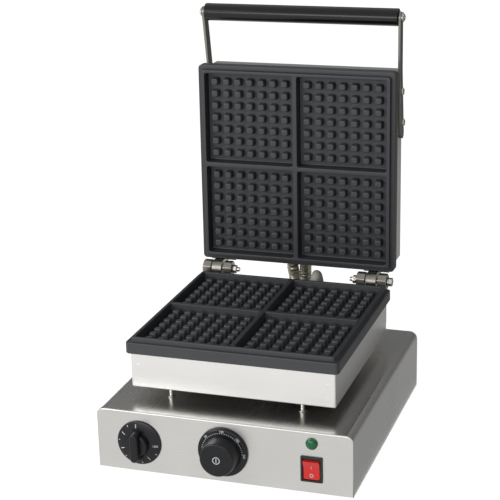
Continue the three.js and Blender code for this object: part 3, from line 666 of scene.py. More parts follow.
def build_housings(sizes):
    low = corners("lower_housing")[0].z
    bm = bmesh.new()
    housing(bm, place(0, HOUSING_Y, low))
    piece("lower_case", bm, ["mill_finish_stainless"], "base", ["lower_housing"])
    bm = bmesh.new()
    top_when_closed = 171.5 + 4 + HOUSING_HEIGHT
    housing(bm, LID @ place(0, HOUSING_Y, top_when_closed, "down"))
    piece("upper_case", bm, ["mill_finish_stainless"], "lid", ["upper_housing"])
    front = HOUSING_Y - HOUSING_LENGTH / 2
    spots = [Vector((x, front, z)) * MM for x in (-115.5, 115.5) for z in (104, 121)]
    marks = repeat(at_points_tree(), spot_weld, spots, "mill_finish_stainless")
    settle("case_spot_welds", marks, "base")


# ------------------------------------------------------------------ castings

PLATE = 258.6
SLAB = 14.0
RIM = 247.6
PLATE_TOP = 19.0
CAVITY = 117.3
CAVITY_FLOOR = 5.5
FIELD_SPACING = 122.3
PLATE_Y = middle("lower_plate").y
PLATE_BASE = corners("lower_plate")[0].z
CLOSED_BACK = 171.2 + 4  # height of the upper plate's back with the lid closed


def casting(bm, where):
    """The flanged plate with four deep cavities, its back at height 0."""
    def ring(size, corner, height):
        return at_height(rounded_rectangle(size, size, corner), height)
    outside = [
        ring(PLATE - 2, 4.2, 0), ring(PLATE, 5, 1), ring(PLATE, 5, SLAB - 1.4),
        ring(PLATE - 0.8, 4.6, SLAB - 0.4), ring(PLATE - 2.6, 4, SLAB),
        ring(RIM + 1.6, 4.2, SLAB), ring(RIM + 0.2, 3.6, SLAB + 0.7),
        ring(RIM - 0.6, 3.2, PLATE_TOP - 0.9), ring(RIM - 1.2, 3, PLATE_TOP - 0.25),
        ring(RIM - 2.2, 2.6, PLATE_TOP),
    ]
    top = loft(bm, outside, where, ends=(True, False))[-1]
    rims = [top]
    half = FIELD_SPACING / 2
    for cx, cy in ((-half, -half), (half, -half), (-half, half), (half, half)):
        levels = [
            (CAVITY + 0.6, 3.0, PLATE_TOP), (CAVITY - 0.4, 2.8, PLATE_TOP - 0.3),
            (CAVITY - 1.0, 2.6, PLATE_TOP - 1.1), (CAVITY - 2.6, 2.4, CAVITY_FLOOR + 1.4),
            (CAVITY - 3.6, 2.0, CAVITY_FLOOR + 0.4), (CAVITY - 5.4, 1.4, CAVITY_FLOOR),
        ]
        rings = [[p + Vector((cx, cy, 0)) for p in ring(*level)] for level in levels]
        rims.append(loft(bm, rings, where, ends=(False, True))[0])
    edges = []
    for rim in rims:
        for a, b in zip(rim, rim[1:] + rim[:1]):
            edges.append(bm.edges.get((a, b)))
    bmesh.ops.triangle_fill(bm, edges=edges, use_beauty=True)


def peg(sizes):
    """A drafted square peg with soft corners and a softly rounded top."""
    foot, top, height = sizes.peg_foot, sizes.peg_top, sizes.peg_height

    def draw(bm):
        def ring(width, corner, z):
            w, c = width / 2, corner
            pts = [(w - c, -w), (w, c - w), (w, w - c), (w - c, w),
                   (c - w, w), (-w, w - c), (-w, c - w), (c - w, -w)]
            return [Vector((x, y, z)) for x, y in pts]
        rings = [
            ring(foot + 0.0012, 0.0016, -0.0004), ring(foot, 0.0015, 0.0006),
            ring(top + 0.0002, 0.0014, height - 0.0011), ring(top - 0.0009, 0.0014, height - 0.0002),
            ring(top - 0.0028, 0.0011, height),
        ]
        loft(bm, rings, Matrix.Identity(4))
    return draw


def build_castings(sizes):
    where = {
        "lower": place(0, PLATE_Y, PLATE_BASE),
        "upper": LID @ place(0, PLATE_Y, CLOSED_BACK, "down"),
    }
    tree = peg_tree()
    for side, body in (("lower", "base"), ("upper", "lid")):
        bm = bmesh.new()
        casting(bm, where[side])
        piece(f"{side}_casting", bm, ["ptfe_coated_casting"], body, [f"{side}_plate"])
        pegs = repeat(tree, peg(sizes), [(0, 0, 0)], "ptfe_coated_casting", **{
            "Pegs per side": sizes.peg_count, "Pitch": sizes.peg_pitch,
            "Field spacing": FIELD_SPACING * MM})
        pegs.transform(where[side] @ Matrix.Translation((0, 0, CAVITY_FLOOR)) @ Matrix.Scale(1 / MM, 4))
        settle(f"{side}_pegs", pegs, body, smooth_angle=50)


# -------------------------------------------------------------------- hinges

KNUCKLE = 10.8
HINGE_ARM = (-10.9, -4.8)  # front and back of the flat arm, from the pin's centre


def hinge_profile(arm_end):
    """A knuckle seen from the side with its flat arm, up or down, round the pin."""
    front, back = HINGE_ARM
    start = math.degrees(math.asin(back / KNUCKLE))
    if arm_end < 0:
        around = arc(0, 0, KNUCKLE, 180 + 2, -90 + start, 30)
        return [(front, arm_end)] + [(-KNUCKLE, 0)] + around[1:] + [(back, -9.7), (back, arm_end)]
    around = arc(0, 0, KNUCKLE, 180 - 2, 360 + 90 - start, 30)
    return [(front, arm_end)] + [(-KNUCKLE, 0)] + around[1:] + [(back, 9.7), (back, arm_end)]


def ear_profile(arm_end):
    """An outer knuckle: eight flats round the pin, on its arm."""
    eight = [(10.9 * math.cos(math.radians(a)), 10.9 * math.sin(math.radians(a)))
             for a in (202, 157, 112, 67, 22, -23, -68)]
    return [(HINGE_ARM[0], arm_end)] + eight + [(HINGE_ARM[1], -10.4), (HINGE_ARM[1], arm_end)]


def hex_outline(across_flats):
    return circle(across_flats / math.sqrt(3), 6)


def build_hinges(sizes):
    pin_y, pin_z = HINGE.y, HINGE.z
    pad_front = corners("hinge_bracket_left")[0].y - pin_y
    bracket_low = corners("hinge_bracket_left")[0].z - pin_z
    for side, outboard in (("left", -1), ("right", 1)):
        x = middle(f"hinge_bracket_{side}").x
        bm = bmesh.new()
        for offset in (-14, 14):
            prism(bm, ear_profile(bracket_low), place(x + offset, pin_y, pin_z, "right"), -5.5, 5.9, 1.0)
        pad_top = LOWER_RIM - CASTING_HEIGHT - pin_z - 0.6
        pad_rear = HINGE_ARM[1] - 0.3
        pad = [(pad_front, bracket_low), (pad_rear, bracket_low), (pad_rear, pad_top),
               (pad_front, pad_top)]
        prism(bm, pad, place(x, pin_y, pin_z, "right"), -20, 20, 0.6)
        bridge = [(HINGE_ARM[0], bracket_low + 4), (HINGE_ARM[1] - 0.02, bracket_low + 4),
                  (HINGE_ARM[1] - 0.02, -12.4), (HINGE_ARM[0], -12.4)]
        prism(bm, bridge, place(x, pin_y, pin_z, "right"), -19.4, 19.4, 0.5)
        piece(f"hinge_fork_{side}", bm, ["heat_darkened_steel"], "base",
              [f"hinge_bracket_{side}"])

        bm = bmesh.new()
        closed = LID @ place(x, pin_y, pin_z, "right")
        leaf_base = LID_BASE - pin_z
        low, high = leaf_base + 1.5, leaf_base + 36
        prism(bm, hinge_profile(leaf_base + 20), closed, -6.4, 6.4, 0.7)
        pad = [(pad_front, low), (pad_rear, low), (pad_rear, high), (pad_front, high)]
        prism(bm, pad, closed, -17, 17, 0.6)
        piece(f"hinge_tongue_{side}", bm, ["heat_darkened_steel"], "lid",
              [f"hinge_leaf_{side}"])

        # Bolt with a washer under its head, and the nut on the inboard end
        inner, outer = ("left", "right") if outboard > 0 else ("right", "left")
        ear = 20.3
        bm = bmesh.new()
        inboard = place(x - outboard * ear, pin_y, pin_z, inner)
        turned(bm, [(0, -40), (3, -40), (3, 8.4), (2.4, 9.2), (0, 9.2)], inboard, 24)
        outer_place = place(x + outboard * ear, pin_y, pin_z, outer)
        if outboard > 0:
            prism(bm, hex_outline(10), outer_place, 1.2, 6.2, 0.5)
            turned(bm, [(0, 0), (5.6, 0), (6, 0.3), (6, 1), (5.6, 1.2), (0, 1.2)], outer_place, 32)
        else:
            turned(bm, [(0, 0), (5.2, 0), (5.2, 0.7), (4, 1.5), (0, 1.7)], outer_place, 32)
        piece(f"hinge_pin_{side}", bm, ["zinc_plated_steel"], "base",
              [f"hinge_bolt_{side}"])
        bm = bmesh.new()
        prism(bm, hex_outline(10), inboard, 0.9, 5.2, 0.6)
        turned(bm, [(0, 0), (5.4, 0), (5.8, 0.3), (5.8, 0.7), (5.4, 0.9), (0, 0.9)], inboard, 32)
        piece(f"hinge_lock_nut_{side}", bm, ["zinc_plated_steel"], "base",
              [f"hinge_nut_{side}"])


# -------------------------------------------------------------------- handle

BAR = {"low": 172.0, "high": 322.0, "low_depth": 47.5, "high_depth": 28.0, "width": 14.0, "thick": 3.3}
BAR_FOOT = 124.9
BAR_SPLAY = 2.2
PLATE_REAR = 291.4 - PANEL_FACE


def lid_side_point(along):
    """A point of the bar's middle line, as (y, z) with the lid closed."""
    share = (along - BAR["low"]) / (BAR["high"] - BAR["low"])
    depth = BAR["low_depth"] + share * (BAR["high_depth"] - BAR["low_depth"])
    return PLATE_REAR - along, 157.2 + FEET + depth


def handle_bar(bm, side):
    """A flat bar with round ends, straight beside the lid and then splayed out."""
    half = BAR["width"] / 2
    first, last = BAR["low"] - half, BAR["high"] + half
    bend = PLATE - 6
    (y0, z0), (y1, z1) = lid_side_point(BAR["low"]), lid_side_point(BAR["high"])
    run = Vector((0, y1 - y0, z1 - z0)).normalized()
    across = Vector((0, -run.z, run.y))
    steps = [first + half * (1 - math.cos(math.radians(a))) for a in (3, 15, 30, 45, 60, 75, 90)]
    stations = steps + [bend - 10, bend - 3, bend + 3, bend + 12] + [first + last - s for s in steps[::-1]]
    rings = []
    scale = (Vector((0, y1 - y0, z1 - z0))).length / (BAR["high"] - BAR["low"])
    for along in stations:
        end = min(along - first, last - along)
        reach = half if end >= half else math.sqrt(max(half ** 2 - (half - end) ** 2, 0.05))
        centre = Vector((0, y0, z0)) + run * (along - BAR["low"]) * scale
        out = BAR_FOOT + BAR_SPLAY * max(0, min(1, (along - bend) / (BAR["high"] + 12 - bend)))
        ring = []
        for a, b in rounded_rectangle(BAR["thick"], 2 * reach, min(0.7, reach * 0.4), 3):
            ring.append(centre + across * b + Vector((side * (out + BAR["thick"] / 2 + a), 0, 0)))
        rings.append(ring)
    loft(bm, rings, LID @ place())


def build_handle(sizes):
    grip_y, grip_z = lid_side_point(BAR["high"])
    bolts = [lid_side_point(along) for along in (186, 227)]
    for name, side in (("left", -1), ("right", 1)):
        bm = bmesh.new()
        handle_bar(bm, side)
        piece(f"handle_strap_{name}", bm, ["drawn_bar_steel"], "lid", [f"handle_bar_{name}"])
        bm = bmesh.new()
        face = BAR_FOOT + BAR["thick"]
        for y, z in bolts:
            where = LID @ place(side * face, y, z, name)
            turned(bm, [(0, -5), (2.5, -5), (2.5, 0.3), (5.4, 0.3), (5.4, 1.0), (4.6, 1.1), (4.3, 2.1),
                        (3.2, 2.8), (2.1, 3.0), (1.9, 2.0), (0, 2.0)], where, 32)
        piece(f"strap_bolts_{name}", bm, ["zinc_plated_steel"], "lid",
              [f"bar_bolt_low_{name}", f"bar_bolt_high_{name}"])
        bm = bmesh.new()
        where = LID @ place(side * (BAR_FOOT + BAR_SPLAY + BAR["thick"] + 0.4), grip_y, grip_z, name)
        turned(bm, [(0, 0), (6.2, 0), (6.2, 0.8), (5.3, 0.9), (4.9, 1.9), (3.6, 2.7), (1.9, 3.1), (0, 3.2)],
               where, 32)
        piece(f"grip_cap_{name}", bm, ["zinc_plated_steel"], "lid", [f"grip_nut_{name}"])
    end = BAR_FOOT + BAR_SPLAY - 0.9
    bm = bmesh.new()
    half = [(0, 0), (10.2, 0), (10.8, 0.3), (11, 0.9)]
    profile = half + [(r, 2 * end - h) for r, h in half[::-1]]
    turned(bm, profile, LID @ place(-end, grip_y, grip_z, "right"), 64)
    for height in (3.2, 2 * end - 4.2):
        band = [(10.9, 0), (11.12, 0.15), (11.12, 0.85), (10.9, 1)]
        turned(bm, band, LID @ place(-end + height, grip_y, grip_z, "right"), 64)
    piece("carrying_grip", bm, ["lacquered_grip"], "lid", ["grip"])


# --------------------------------------------------------------------- knobs

TIMER_X, TIMER_Z = -102.0, 41.0
THERMOSTAT_X, THERMOSTAT_Z = 1.2, 42.2
SKIRT_BACK, SKIRT_FACE = 1.0, 4.5


def timer_face(radius):
    """Height of the timer's skirt at a distance from its centre."""
    return SKIRT_FACE - max(0, radius - 19) * 0.33


def tick(start, end, width):
    """A printed line that follows the skirt's slope, drawn upwards from the centre."""
    def draw(bm):
        rings = []
        for i in range(5):
            r = start + (end - start) * i / 4
            h = timer_face(r)
            rings.append([Vector((-width / 2, r, h - 0.2)), Vector((width / 2, r, h - 0.2)),
                          Vector((width / 2, r, h + 0.07)), Vector((-width / 2, r, h + 0.07))])
        loft(bm, rings, place())
    return draw


def clockwise(degrees):
    return -math.radians(degrees)


def build_timer_knob(sizes):
    face = place(TIMER_X, -PANEL_FACE, TIMER_Z, "front")
    bm = bmesh.new()
    turned(bm, [(0, SKIRT_BACK), (26.6, SKIRT_BACK), (27, 1.2), (27, 1.7), (26.6, 2.0),
                (19, timer_face(19)), (0, SKIRT_FACE)], face, 96)
    turned(bm, [(0, SKIRT_FACE - 0.3), (14.2, SKIRT_FACE - 0.3), (13.6, 5.2), (12.9, 10.4), (12.3, 11.6),
                (11, 12.2), (0, 12.2)], face, 64)
    # The bar of the knob, wider at its foot and rounded over at its front
    rings = []
    for width, height, corner, rise in (
            (13, 39.5, 5, SKIRT_FACE - 0.4), (11.4, 38, 4.8, 5.8), (10.4, 37, 4.6, 8), (9.6, 36, 4.4, 17),
            (9.1, 35.2, 4.2, 19.2), (8.0, 33.8, 3.7, 20.4), (6.0, 31.4, 2.8, 21)):
        rings.append(at_height(rounded_rectangle(width, height, corner), rise))
    loft(bm, rings, face)
    piece("timer_dial", bm, ["moulded_phenolic"], "timer", ["timer_knob"])

    # Eleven marks, long and short by turns, and a double one at the end of the scale
    tree = at_points_tree()
    step, first = 26, 93
    long_marks = repeat(tree, tick(18.6, 24, 1.0), [(0, 0, 0)] * 5, "white_pad_print", **{
        "First angle": clockwise(first + 2 * step), "Step angle": clockwise(2 * step)})
    short_marks = repeat(tree, tick(23.2, 25.4, 0.9), [(0, 0, 0)] * 5, "white_pad_print", **{
        "First angle": clockwise(first + step), "Step angle": clockwise(2 * step)})
    double = repeat(tree, tick(18, 24.2, 0.75), [(-0.7 * MM, 0, 0), (0.7 * MM, 0, 0)], "white_pad_print")
    double.transform(Matrix.Rotation(clockwise(first), 4, "Z"))
    for name, marks in (("timer_long_marks", long_marks), ("timer_short_marks", short_marks),
                        ("timer_end_mark", double)):
        marks.transform(face @ Matrix.Scale(1 / MM, 4))
        settle(name, marks, "timer")


def lettering(text, size, where):
    """Flat raised figures as a mesh, centred on their place."""
    curve = bpy.data.curves.new("figures", "FONT")
    curve.body = text
    curve.size = size
    curve.align_x, curve.align_y = "CENTER", "CENTER"
    curve.extrude = 0.1
    curve.offset = 0.08
    curve.resolution_u = 3
    holder = hold("figures", curve)
    mesh = finished_mesh(holder)
    bpy.data.objects.remove(holder)
    mesh.transform(where)
    return mesh


def build_thermostat_knob(sizes):
    face = place(THERMOSTAT_X, -PANEL_FACE, THERMOSTAT_Z, "front")
    bm = bmesh.new()
    turned(bm, [(0, SKIRT_BACK), (29.6, SKIRT_BACK), (30, 1.3), (30, 2.6), (29.6, 3.4), (28.6, 4.2),
                (27.6, SKIRT_FACE), (23.6, SKIRT_FACE), (23.1, 4.7), (22.9, 5.4), (21.2, 18), (20.5, 23),
                (20.2, 24.0), (19.4, 24.8), (18.4, 25), (0, 25)], face, 96)
    piece("thermostat_dial", bm, ["moulded_phenolic"], "thermostat", ["thermostat_knob"])

    def dot(bm):
        turned(bm, [(0, SKIRT_FACE - 0.1), (0.58, SKIRT_FACE - 0.1), (0.58, SKIRT_FACE + 0.06),
                    (0, SKIRT_FACE + 0.06)], place(0, 24.5, 0), 10)
    count = 26
    dots = repeat(at_points_tree(), dot, [(0, 0, 0)] * count, "white_pad_print", **{
        "First angle": clockwise(-78), "Step angle": clockwise(6.6)})
    dots.transform(face @ Matrix.Scale(1 / MM, 4))
    settle("thermostat_dots", dots, "thermostat")

    bm = bmesh.new()
    for text, degrees in (("50", -46), ("100", 0), ("150", 46), ("200", 92)):
        turn = Matrix.Rotation(clockwise(degrees), 4, "Z")
        figures = lettering(text, 3.6, face @ turn @ Matrix.Translation((0, 26.6, SKIRT_FACE)))
        bm.from_mesh(figures)
        bpy.data.meshes.remove(figures)
    ring = [at_height(circle(r, 32), h) for r, h in
            ((3.5, 24.7), (4.5, 24.7), (4.5, 25.08), (3.5, 25.08), (3.5, 24.7))]
    loft(bm, ring, face, ends=(False, False))
    bmesh.ops.remove_doubles(bm, verts=bm.verts, dist=1e-7)
    prism(bm, rounded_rectangle(1.1, 5.4, 0.4, 3), face, 24.7, 25.08)
    piece("thermostat_figures", bm, ["white_pad_print"], "thermostat")


# ----------------------------------------------------------- lamp and switch

LAMP_X, LAMP_Z = 106.8, 65.4
SWITCH_X, SWITCH_Z = 106.5, 33.8


def build_lamp(sizes):
    face = place(LAMP_X, -PANEL_FACE, LAMP_Z, "front")
    bm = bmesh.new()
    turned(bm, [(0, 0.3), (6.9, 0.3), (7, 0.6), (7, 1.3), (6.7, 1.7), (6.2, 2.0), (6.0, 2.6), (5.4, 3.5),
                (4.2, 4.3), (2.4, 4.8), (0, 4.9)], face, 64)
    piece("pilot_lamp", bm, ["green_acrylic_lens"], "base", ["lamp_lens"])


def build_switch(sizes):
    face = place(SWITCH_X, -PANEL_FACE, SWITCH_Z, "front")
    bm = bmesh.new()
    # The bezel is a frame round a well, with a flat rim and a sloping outer edge
    levels = [(26, 31.5, 1.4, 0.1), (26, 31.5, 1.4, 1.2), (25.4, 30.9, 1.2, 1.9), (24.4, 29.9, 1.0, 2.2),
              (21.4, 27.0, 0.6, 2.2), (20.9, 26.5, 0.5, 1.9), (20.7, 26.2, 0.5, -8)]
    rings = [at_height(rounded_rectangle(w, h, r, 3), z) for w, h, r, z in levels]
    loft(bm, rings, face)
    prism(bm, rounded_rectangle(22.8, 28.2, 0.6, 2), face, -19.6, -8, 0.4)
    piece("switch_frame", bm, ["moulded_nylon"], "base", ["switch_body"])

    # The rocker in its side outline: two faces that meet at its middle, tilted
    bm = bmesh.new()
    half = 11.8
    outline = [(-6.5, -half), (-5.2, -5.5), (-4.6, 0), (-5.2, 5.5), (-6.5, half),
               (1, half - 1), (4.4, 3), (4.4, -3), (1, 1 - half)]
    tilt = Matrix.Rotation(math.radians(9), 4, "Z")
    seat = place(SWITCH_X, 3.5 - PANEL_FACE, SWITCH_Z, "right") @ tilt
    prism(bm, outline, seat, -9.75, 9.75, 0.7, steps=3)
    # A line and a ring, printed on the two faces
    low, high, line_width, print_height, sunk = 1.6, 5.2, 0.75, 0.09, 0.3
    low_x, high_x = (-4.6 - 0.6 * z / 5.5 for z in (low, high))
    line = [(low_x - print_height, low), (high_x - print_height, high), (high_x + sunk, high),
            (low_x + sunk, low)]
    prism(bm, line, seat, -line_width / 2, line_width / 2, material=1)
    slope_angle = math.degrees(math.atan2(1.3, 6.3))
    slope = (Matrix.Translation((-5.45, -6.8, 0)) @ Matrix.Rotation(-math.radians(slope_angle), 4, "Z")
             @ Matrix.Rotation(math.radians(-90), 4, "Y"))
    ring = [at_height(circle(r, 28), h) for r, h in ((1.5, -0.6), (2.25, -0.6), (2.25, 0.34), (1.5, 0.34),
                                                     (1.5, -0.6))]
    loft(bm, ring, seat @ slope, 1, ends=(False, False))
    bmesh.ops.remove_doubles(bm, verts=bm.verts, dist=1e-7)
    piece("rocker_key", bm, ["red_polycarbonate", "white_pad_print"], "rocker",
          ["switch_rocker"])


# --------------------------------------------------------------------- hoses

HOSE_RADIUS = 7.75


def hose_path(node):
    """The hose from the lid's fitting down to the deck's, as its solid runs."""
    low, high = corners(node)
    x = (low.x + high.x) / 2
    top_y = {"conduit_left": 341.33, "conduit_right": 341.19}[node] - PANEL_FACE
    hang = high.z - low.z
    points = [(x, top_y, high.z), (x, top_y, high.z - 3), (x, top_y, high.z - 6),
              (x, top_y + 9, high.z - 0.42 * hang), (x, top_y - 5, low.z + 0.34 * hang),
              (x, HOSE_DECK_Y, low.z + 6), (x, HOSE_DECK_Y, low.z + 3), (x, HOSE_DECK_Y, low.z)]
    return smooth_path([Vector(p) * MM for p in points], 90)


def fitting(length):
    """A gland's nut and its ferrule, which is ribbed like the hose that it grips."""
    ribs = []
    low = 8.0
    while low + 3.3 < length:
        ribs += [(7.3, low + 0.3), (7.3, low + 0.9), (7.9, low + 1.5), (7.9, low + 2.8)]
        low += 3.3
    return [(0, 0.3), (8.2, 0.3), (8.5, 0.6), (8.5, 2.2), (8.1, 2.6), (8.1, 3.2), (8.5, 3.6), (8.5, 6.6),
            (7.9, 7.6), *ribs, (7.9, length - 0.3), (7.6, length), (0, length)]


def build_hoses(sizes):
    tree = hose_tree()
    for side, reach in (("left", 12), ("right", 25)):
        node = f"conduit_{side}"
        points = hose_path(node)
        host = bpy.data.meshes.new("path")
        host.from_pydata([tuple(p) for p in points], [(i, i + 1) for i in range(len(points) - 1)], [])
        hose = grow(tree, host, {
            "Finish": FINISH["strip_wound_hose_steel"], "Rib pitch": sizes.rib_pitch,
            "Radius": HOSE_RADIUS * MM, "Groove depth": 0.95 * MM})
        made = settle(f"ribbed_hose_{side}", hose, None, smooth_angle=60)
        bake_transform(made)
        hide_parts(node)
        low, high = corners(node)
        x = (low.x + high.x) / 2
        bm = bmesh.new()
        turned(bm, fitting(13), place(x, HOSE_DECK_Y, DECK), 40)
        piece(f"deck_gland_{side}", bm, ["zinc_plated_steel"], "base",
              [f"conduit_deck_fitting_{side}"])
        bm = bmesh.new()
        turned(bm, fitting(reach), LID @ place(x, CASE_REAR, LID_BASE + 19, "back"), 40)
        piece(f"lid_gland_{side}", bm, ["strip_wound_hose_steel"], "lid",
              [f"conduit_lid_fitting_{side}"])


def build_sleeve(sizes):
    """The heater leads' sleeving, from its gland on the deck into the lower case."""
    rear_leg, front_leg = SLEEVE_DECK_Y, SLEEVE_DECK_Y - 22
    crown, entry = 150.5 + FEET, 108 + FEET
    path = [(rear_leg, 85.5 + FEET), (rear_leg, 89.2 + FEET), (rear_leg, crown - 40),
            (rear_leg, crown - 14), (rear_leg - 11, crown), (front_leg, crown - 14),
            (front_leg, crown - 28), (front_leg - 5, entry + 3), (CASE_REAR - 2, entry)]
    points = smooth_path([Vector((SLEEVE_X, y, z)) for y, z in path], 60)
    bm = bmesh.new()
    along_path(bm, points, circle(6.4, 28), place())
    piece("lead_sleeving", bm, ["glass_fibre_sleeving"], "base", ["lead_sleeve"])
    bm = bmesh.new()
    where = place(SLEEVE_X, SLEEVE_DECK_Y, DECK)
    prism(bm, hex_outline(15.6), where, 0.3, 5, 0.6)
    turned(bm, [(0, 5), (7.3, 5), (7.5, 5.4), (7.5, 9.4), (7.0, 10), (0, 10)], where, 40)
    piece("sleeve_gland", bm, ["zinc_plated_steel"], "base", ["lead_sleeve_fitting"])


# ----------------------------------------------------------- studs and screws


def stud(bm):
    turned(bm, [(0, -8), (2.5, -8), (2.5, 0.3), (4.4, 0.3), (4.6, 0.5), (4.6, 1.3), (4.2, 1.7), (2.5, 1.8),
                (2.5, 13.9), (4.2, 14.0), (4.2, 14.3), (2.5, 14.4), (2.5, 20.6), (0, 20.8)], place(), 24)


def foot(bm):
    turned(bm, [(0, -4), (9.6, -4), (10.6, -3.6), (11, -2.8), (11, -0.4), (10.2, 0), (10.2, 1.5), (0, 1.5)],
           place(), 40)


def pan_head(bm):
    """A pan-head screw with a dimple in its head, standing up from its seat."""
    turned(bm, [(0, -3), (1.8, -3), (1.8, 0), (3.8, 0), (3.8, 0.7), (3.2, 1.5), (2.2, 1.9), (1.2, 2.0),
                (0.9, 1.4), (0, 1.3)], Matrix.Scale(MM, 4), 20)


def build_fixings(sizes):
    tree = at_points_tree()
    spots = []
    for name in ("front_left", "front_right", "rear_left", "rear_right"):
        spot = middle(f"stud_{name}")
        spots.append(Vector((spot.x, spot.y, DECK)) * MM)
    studs = repeat(tree, stud, spots, "zinc_plated_steel")
    nodes = [f"stud_{n}" for n in ("front_left", "front_right", "rear_left", "rear_right")]
    settle("case_studs", studs, "base", nodes)
    nodes = [n.replace("stud", "foot") for n in nodes]
    spots = [Vector((middle(n).x, middle(n).y, 4)) * MM for n in nodes]
    settle("rubber_feet", repeat(tree, foot, spots, "moulded_rubber"), "base", nodes)

    # Screws of the rear panel and of the bottom plate
    rear = [(x, REAR_FACE, z) for x in (-140, -50, 50, 140) for z in (12, 68)]
    screws = repeat(tree, pan_head_facing("back"), [Vector(p) * MM for p in rear], "zinc_plated_steel")
    settle("rear_screws", screws, "base")
    below = corners("bottom_plate")[0].z
    under = [(x, y, below) for x in (-136, 0, 136) for y in (-150, 0, 142)]
    screws = repeat(tree, pan_head_facing("down"), [Vector(p) * MM for p in under], "zinc_plated_steel")
    settle("bottom_screws", screws, "base")


def pan_head_facing(facing):
    def draw(bm):
        pan_head(bm)
        bm.transform(FACING[facing])
    return draw


def build_inlet(sizes):
    low, high = corners("cable_gland")
    where = place((low.x + high.x) / 2, REAR_FACE, (low.z + high.z) / 2, "back")
    bm = bmesh.new()
    turned(bm, [(0, -9), (7.8, -9), (7.8, 0.3), (0, 0.3)], where, 40)
    prism(bm, hex_outline(20.4), where, 0.3, 5.4, 0.7)
    rings = [at_height(circle(r, 40), h) for r, h in (
        (9.6, 5.2), (9.9, 5.6), (9.9, 11), (9.2, 12.8), (7.2, 13.9), (4.4, 14), (4.1, 13.6), (4, 4))]
    loft(bm, rings, where)
    for i in range(12):
        a = TURN * i / 12
        spot = where @ Matrix.Rotation(a, 4, "Z") @ Matrix.Translation((9.75, 0, 0))
        prism(bm, rounded_rectangle(1.1, 1.6, 0.4, 2), spot, 5.8, 10.8)
    piece("power_inlet_gland", bm, ["moulded_nylon"], "base", ["cable_gland"])


def dress_plain_nodes():
    """Gives every CAD node that still shows the finish of its material slot."""
    for part in frame["record"]["subparts"]:
        holder = frame["nodes"][part["node"]]
        for slot in holder.material_slots:
            slot.material = FINISH[SLOT_FINISH[part["material_slot"]]]


# --------------------------------------------------------------------- stage


def stage_plane(name, material, points):
    mesh = bpy.data.meshes.new(name)
    mesh.from_pydata([tuple(p) for p in points], [], [tuple(range(len(points)))])
    mesh.materials.append(material)
    holder = hold(name, mesh)
    return holder


def glow(name, value):
    """An even grey that gives off its own light."""
    material = bpy.data.materials.new(name)
    material.use_nodes = True
    tree = material.node_tree
    tree.nodes.clear()
    light = add_node(tree, "ShaderNodeEmission", {"Color": (value, value, value, 1.0), "Strength": 1.0})
    add_node(tree, "ShaderNodeOutputMaterial", {"Surface": light.outputs[0]})
    return material


def build_floor():
    """A pale floor that takes the shadow, and shows white to the camera and in metal."""
    material = bpy.data.materials.new("pale_floor")
    material.use_nodes = True
    tree = material.node_tree
    tree.nodes.clear()
    ray = add_node(tree, "ShaderNodeLightPath")
    seen = add_node(tree, "ShaderNodeMath", {
        0: ray.outputs["Is Camera Ray"], 1: ray.outputs["Is Glossy Ray"]}, operation="MAXIMUM")
    seen = add_node(tree, "ShaderNodeMath", {
        0: seen.outputs[0], 1: ray.outputs["Is Transmission Ray"]}, operation="MAXIMUM")
    matt = add_node(tree, "ShaderNodeBsdfDiffuse", {"Color": (0.5, 0.5, 0.5, 1.0)})
    lift = add_node(tree, "ShaderNodeMath", {0: seen.outputs[0], 1: 0.86}, operation="MULTIPLY")
    white = add_node(tree, "ShaderNodeEmission", {"Color": (1, 1, 1, 1), "Strength": lift.outputs[0]})
    both = add_node(tree, "ShaderNodeAddShader", {0: matt.outputs[0], 1: white.outputs[0]})
    add_node(tree, "ShaderNodeOutputMaterial", {"Surface": both.outputs[0]})
    size = 30
    stage_plane("floor", material, [(-size, -size, 0), (size, -size, 0), (size, size, 0), (-size, size, 0)])


def build_world():
    world = bpy.data.worlds.new("studio")
    bpy.context.scene.world = world
    world.use_nodes = True
    tree = world.node_tree
    tree.nodes.clear()
    ray = add_node(tree, "ShaderNodeLightPath")
    seen = add_node(tree, "ShaderNodeMath", {
        0: ray.outputs["Is Camera Ray"], 1: ray.outputs["Is Glossy Ray"]}, operation="MAXIMUM")
    seen = add_node(tree, "ShaderNodeMath", {
        0: seen.outputs[0], 1: ray.outputs["Is Transmission Ray"]}, operation="MAXIMUM")
    room = add_node(tree, "ShaderNodeBackground", {"Color": (1, 1, 1, 1), "Strength": 0.32})
    white = add_node(tree, "ShaderNodeBackground", {"Color": (1, 1, 1, 1), "Strength": 1.0})
    both = add_node(tree, "ShaderNodeMixShader", {
        0: seen.outputs[0], 1: room.outputs[0], 2: white.outputs[0]})
    add_node(tree, "ShaderNodeOutputWorld", {"Surface": both.outputs[0]})


def build_cards():
    """Grey cards that only reflections see: they give the bare metal its dark side."""
    cards = {
        "rear_card": (0.17, [(-4, 1.6, 0), (4, 1.6, 0), (4, 1.6, 1.5), (-4, 1.6, 1.5)]),
        # side_card lies on the floor beside the base as the floor's painted shadow, seen only in reflections
        "side_card": (0.34, [(0.157, -0.18, 0.002), (2.5, -0.18, 0.002), (2.5, 1.6, 0.002),
                             (0.157, 1.6, 0.002)]),
        "right_card": (0.2, [(2.5, -0.8, 0), (2.5, 1.6, 0), (2.5, 1.6, 1.4), (2.5, -0.8, 1.4)]),
    }
    for name, (value, points) in cards.items():
        card = stage_plane(name, glow(name, value), points)
        card.visible_camera = False
        card.visible_diffuse = False
        card.visible_shadow = False
        card.visible_transmission = False


def softbox(name, watts, size, spot, aim):
    light = bpy.data.lights.new(name, "AREA")
    light.shape = "RECTANGLE"
    light.size, light.size_y = size
    light.energy = watts
    holder = hold(name, light)
    holder.location = spot
    holder.rotation_mode = "QUATERNION"
    holder.rotation_quaternion = (Vector(aim) - Vector(spot)).to_track_quat("-Z", "Y")
    return holder


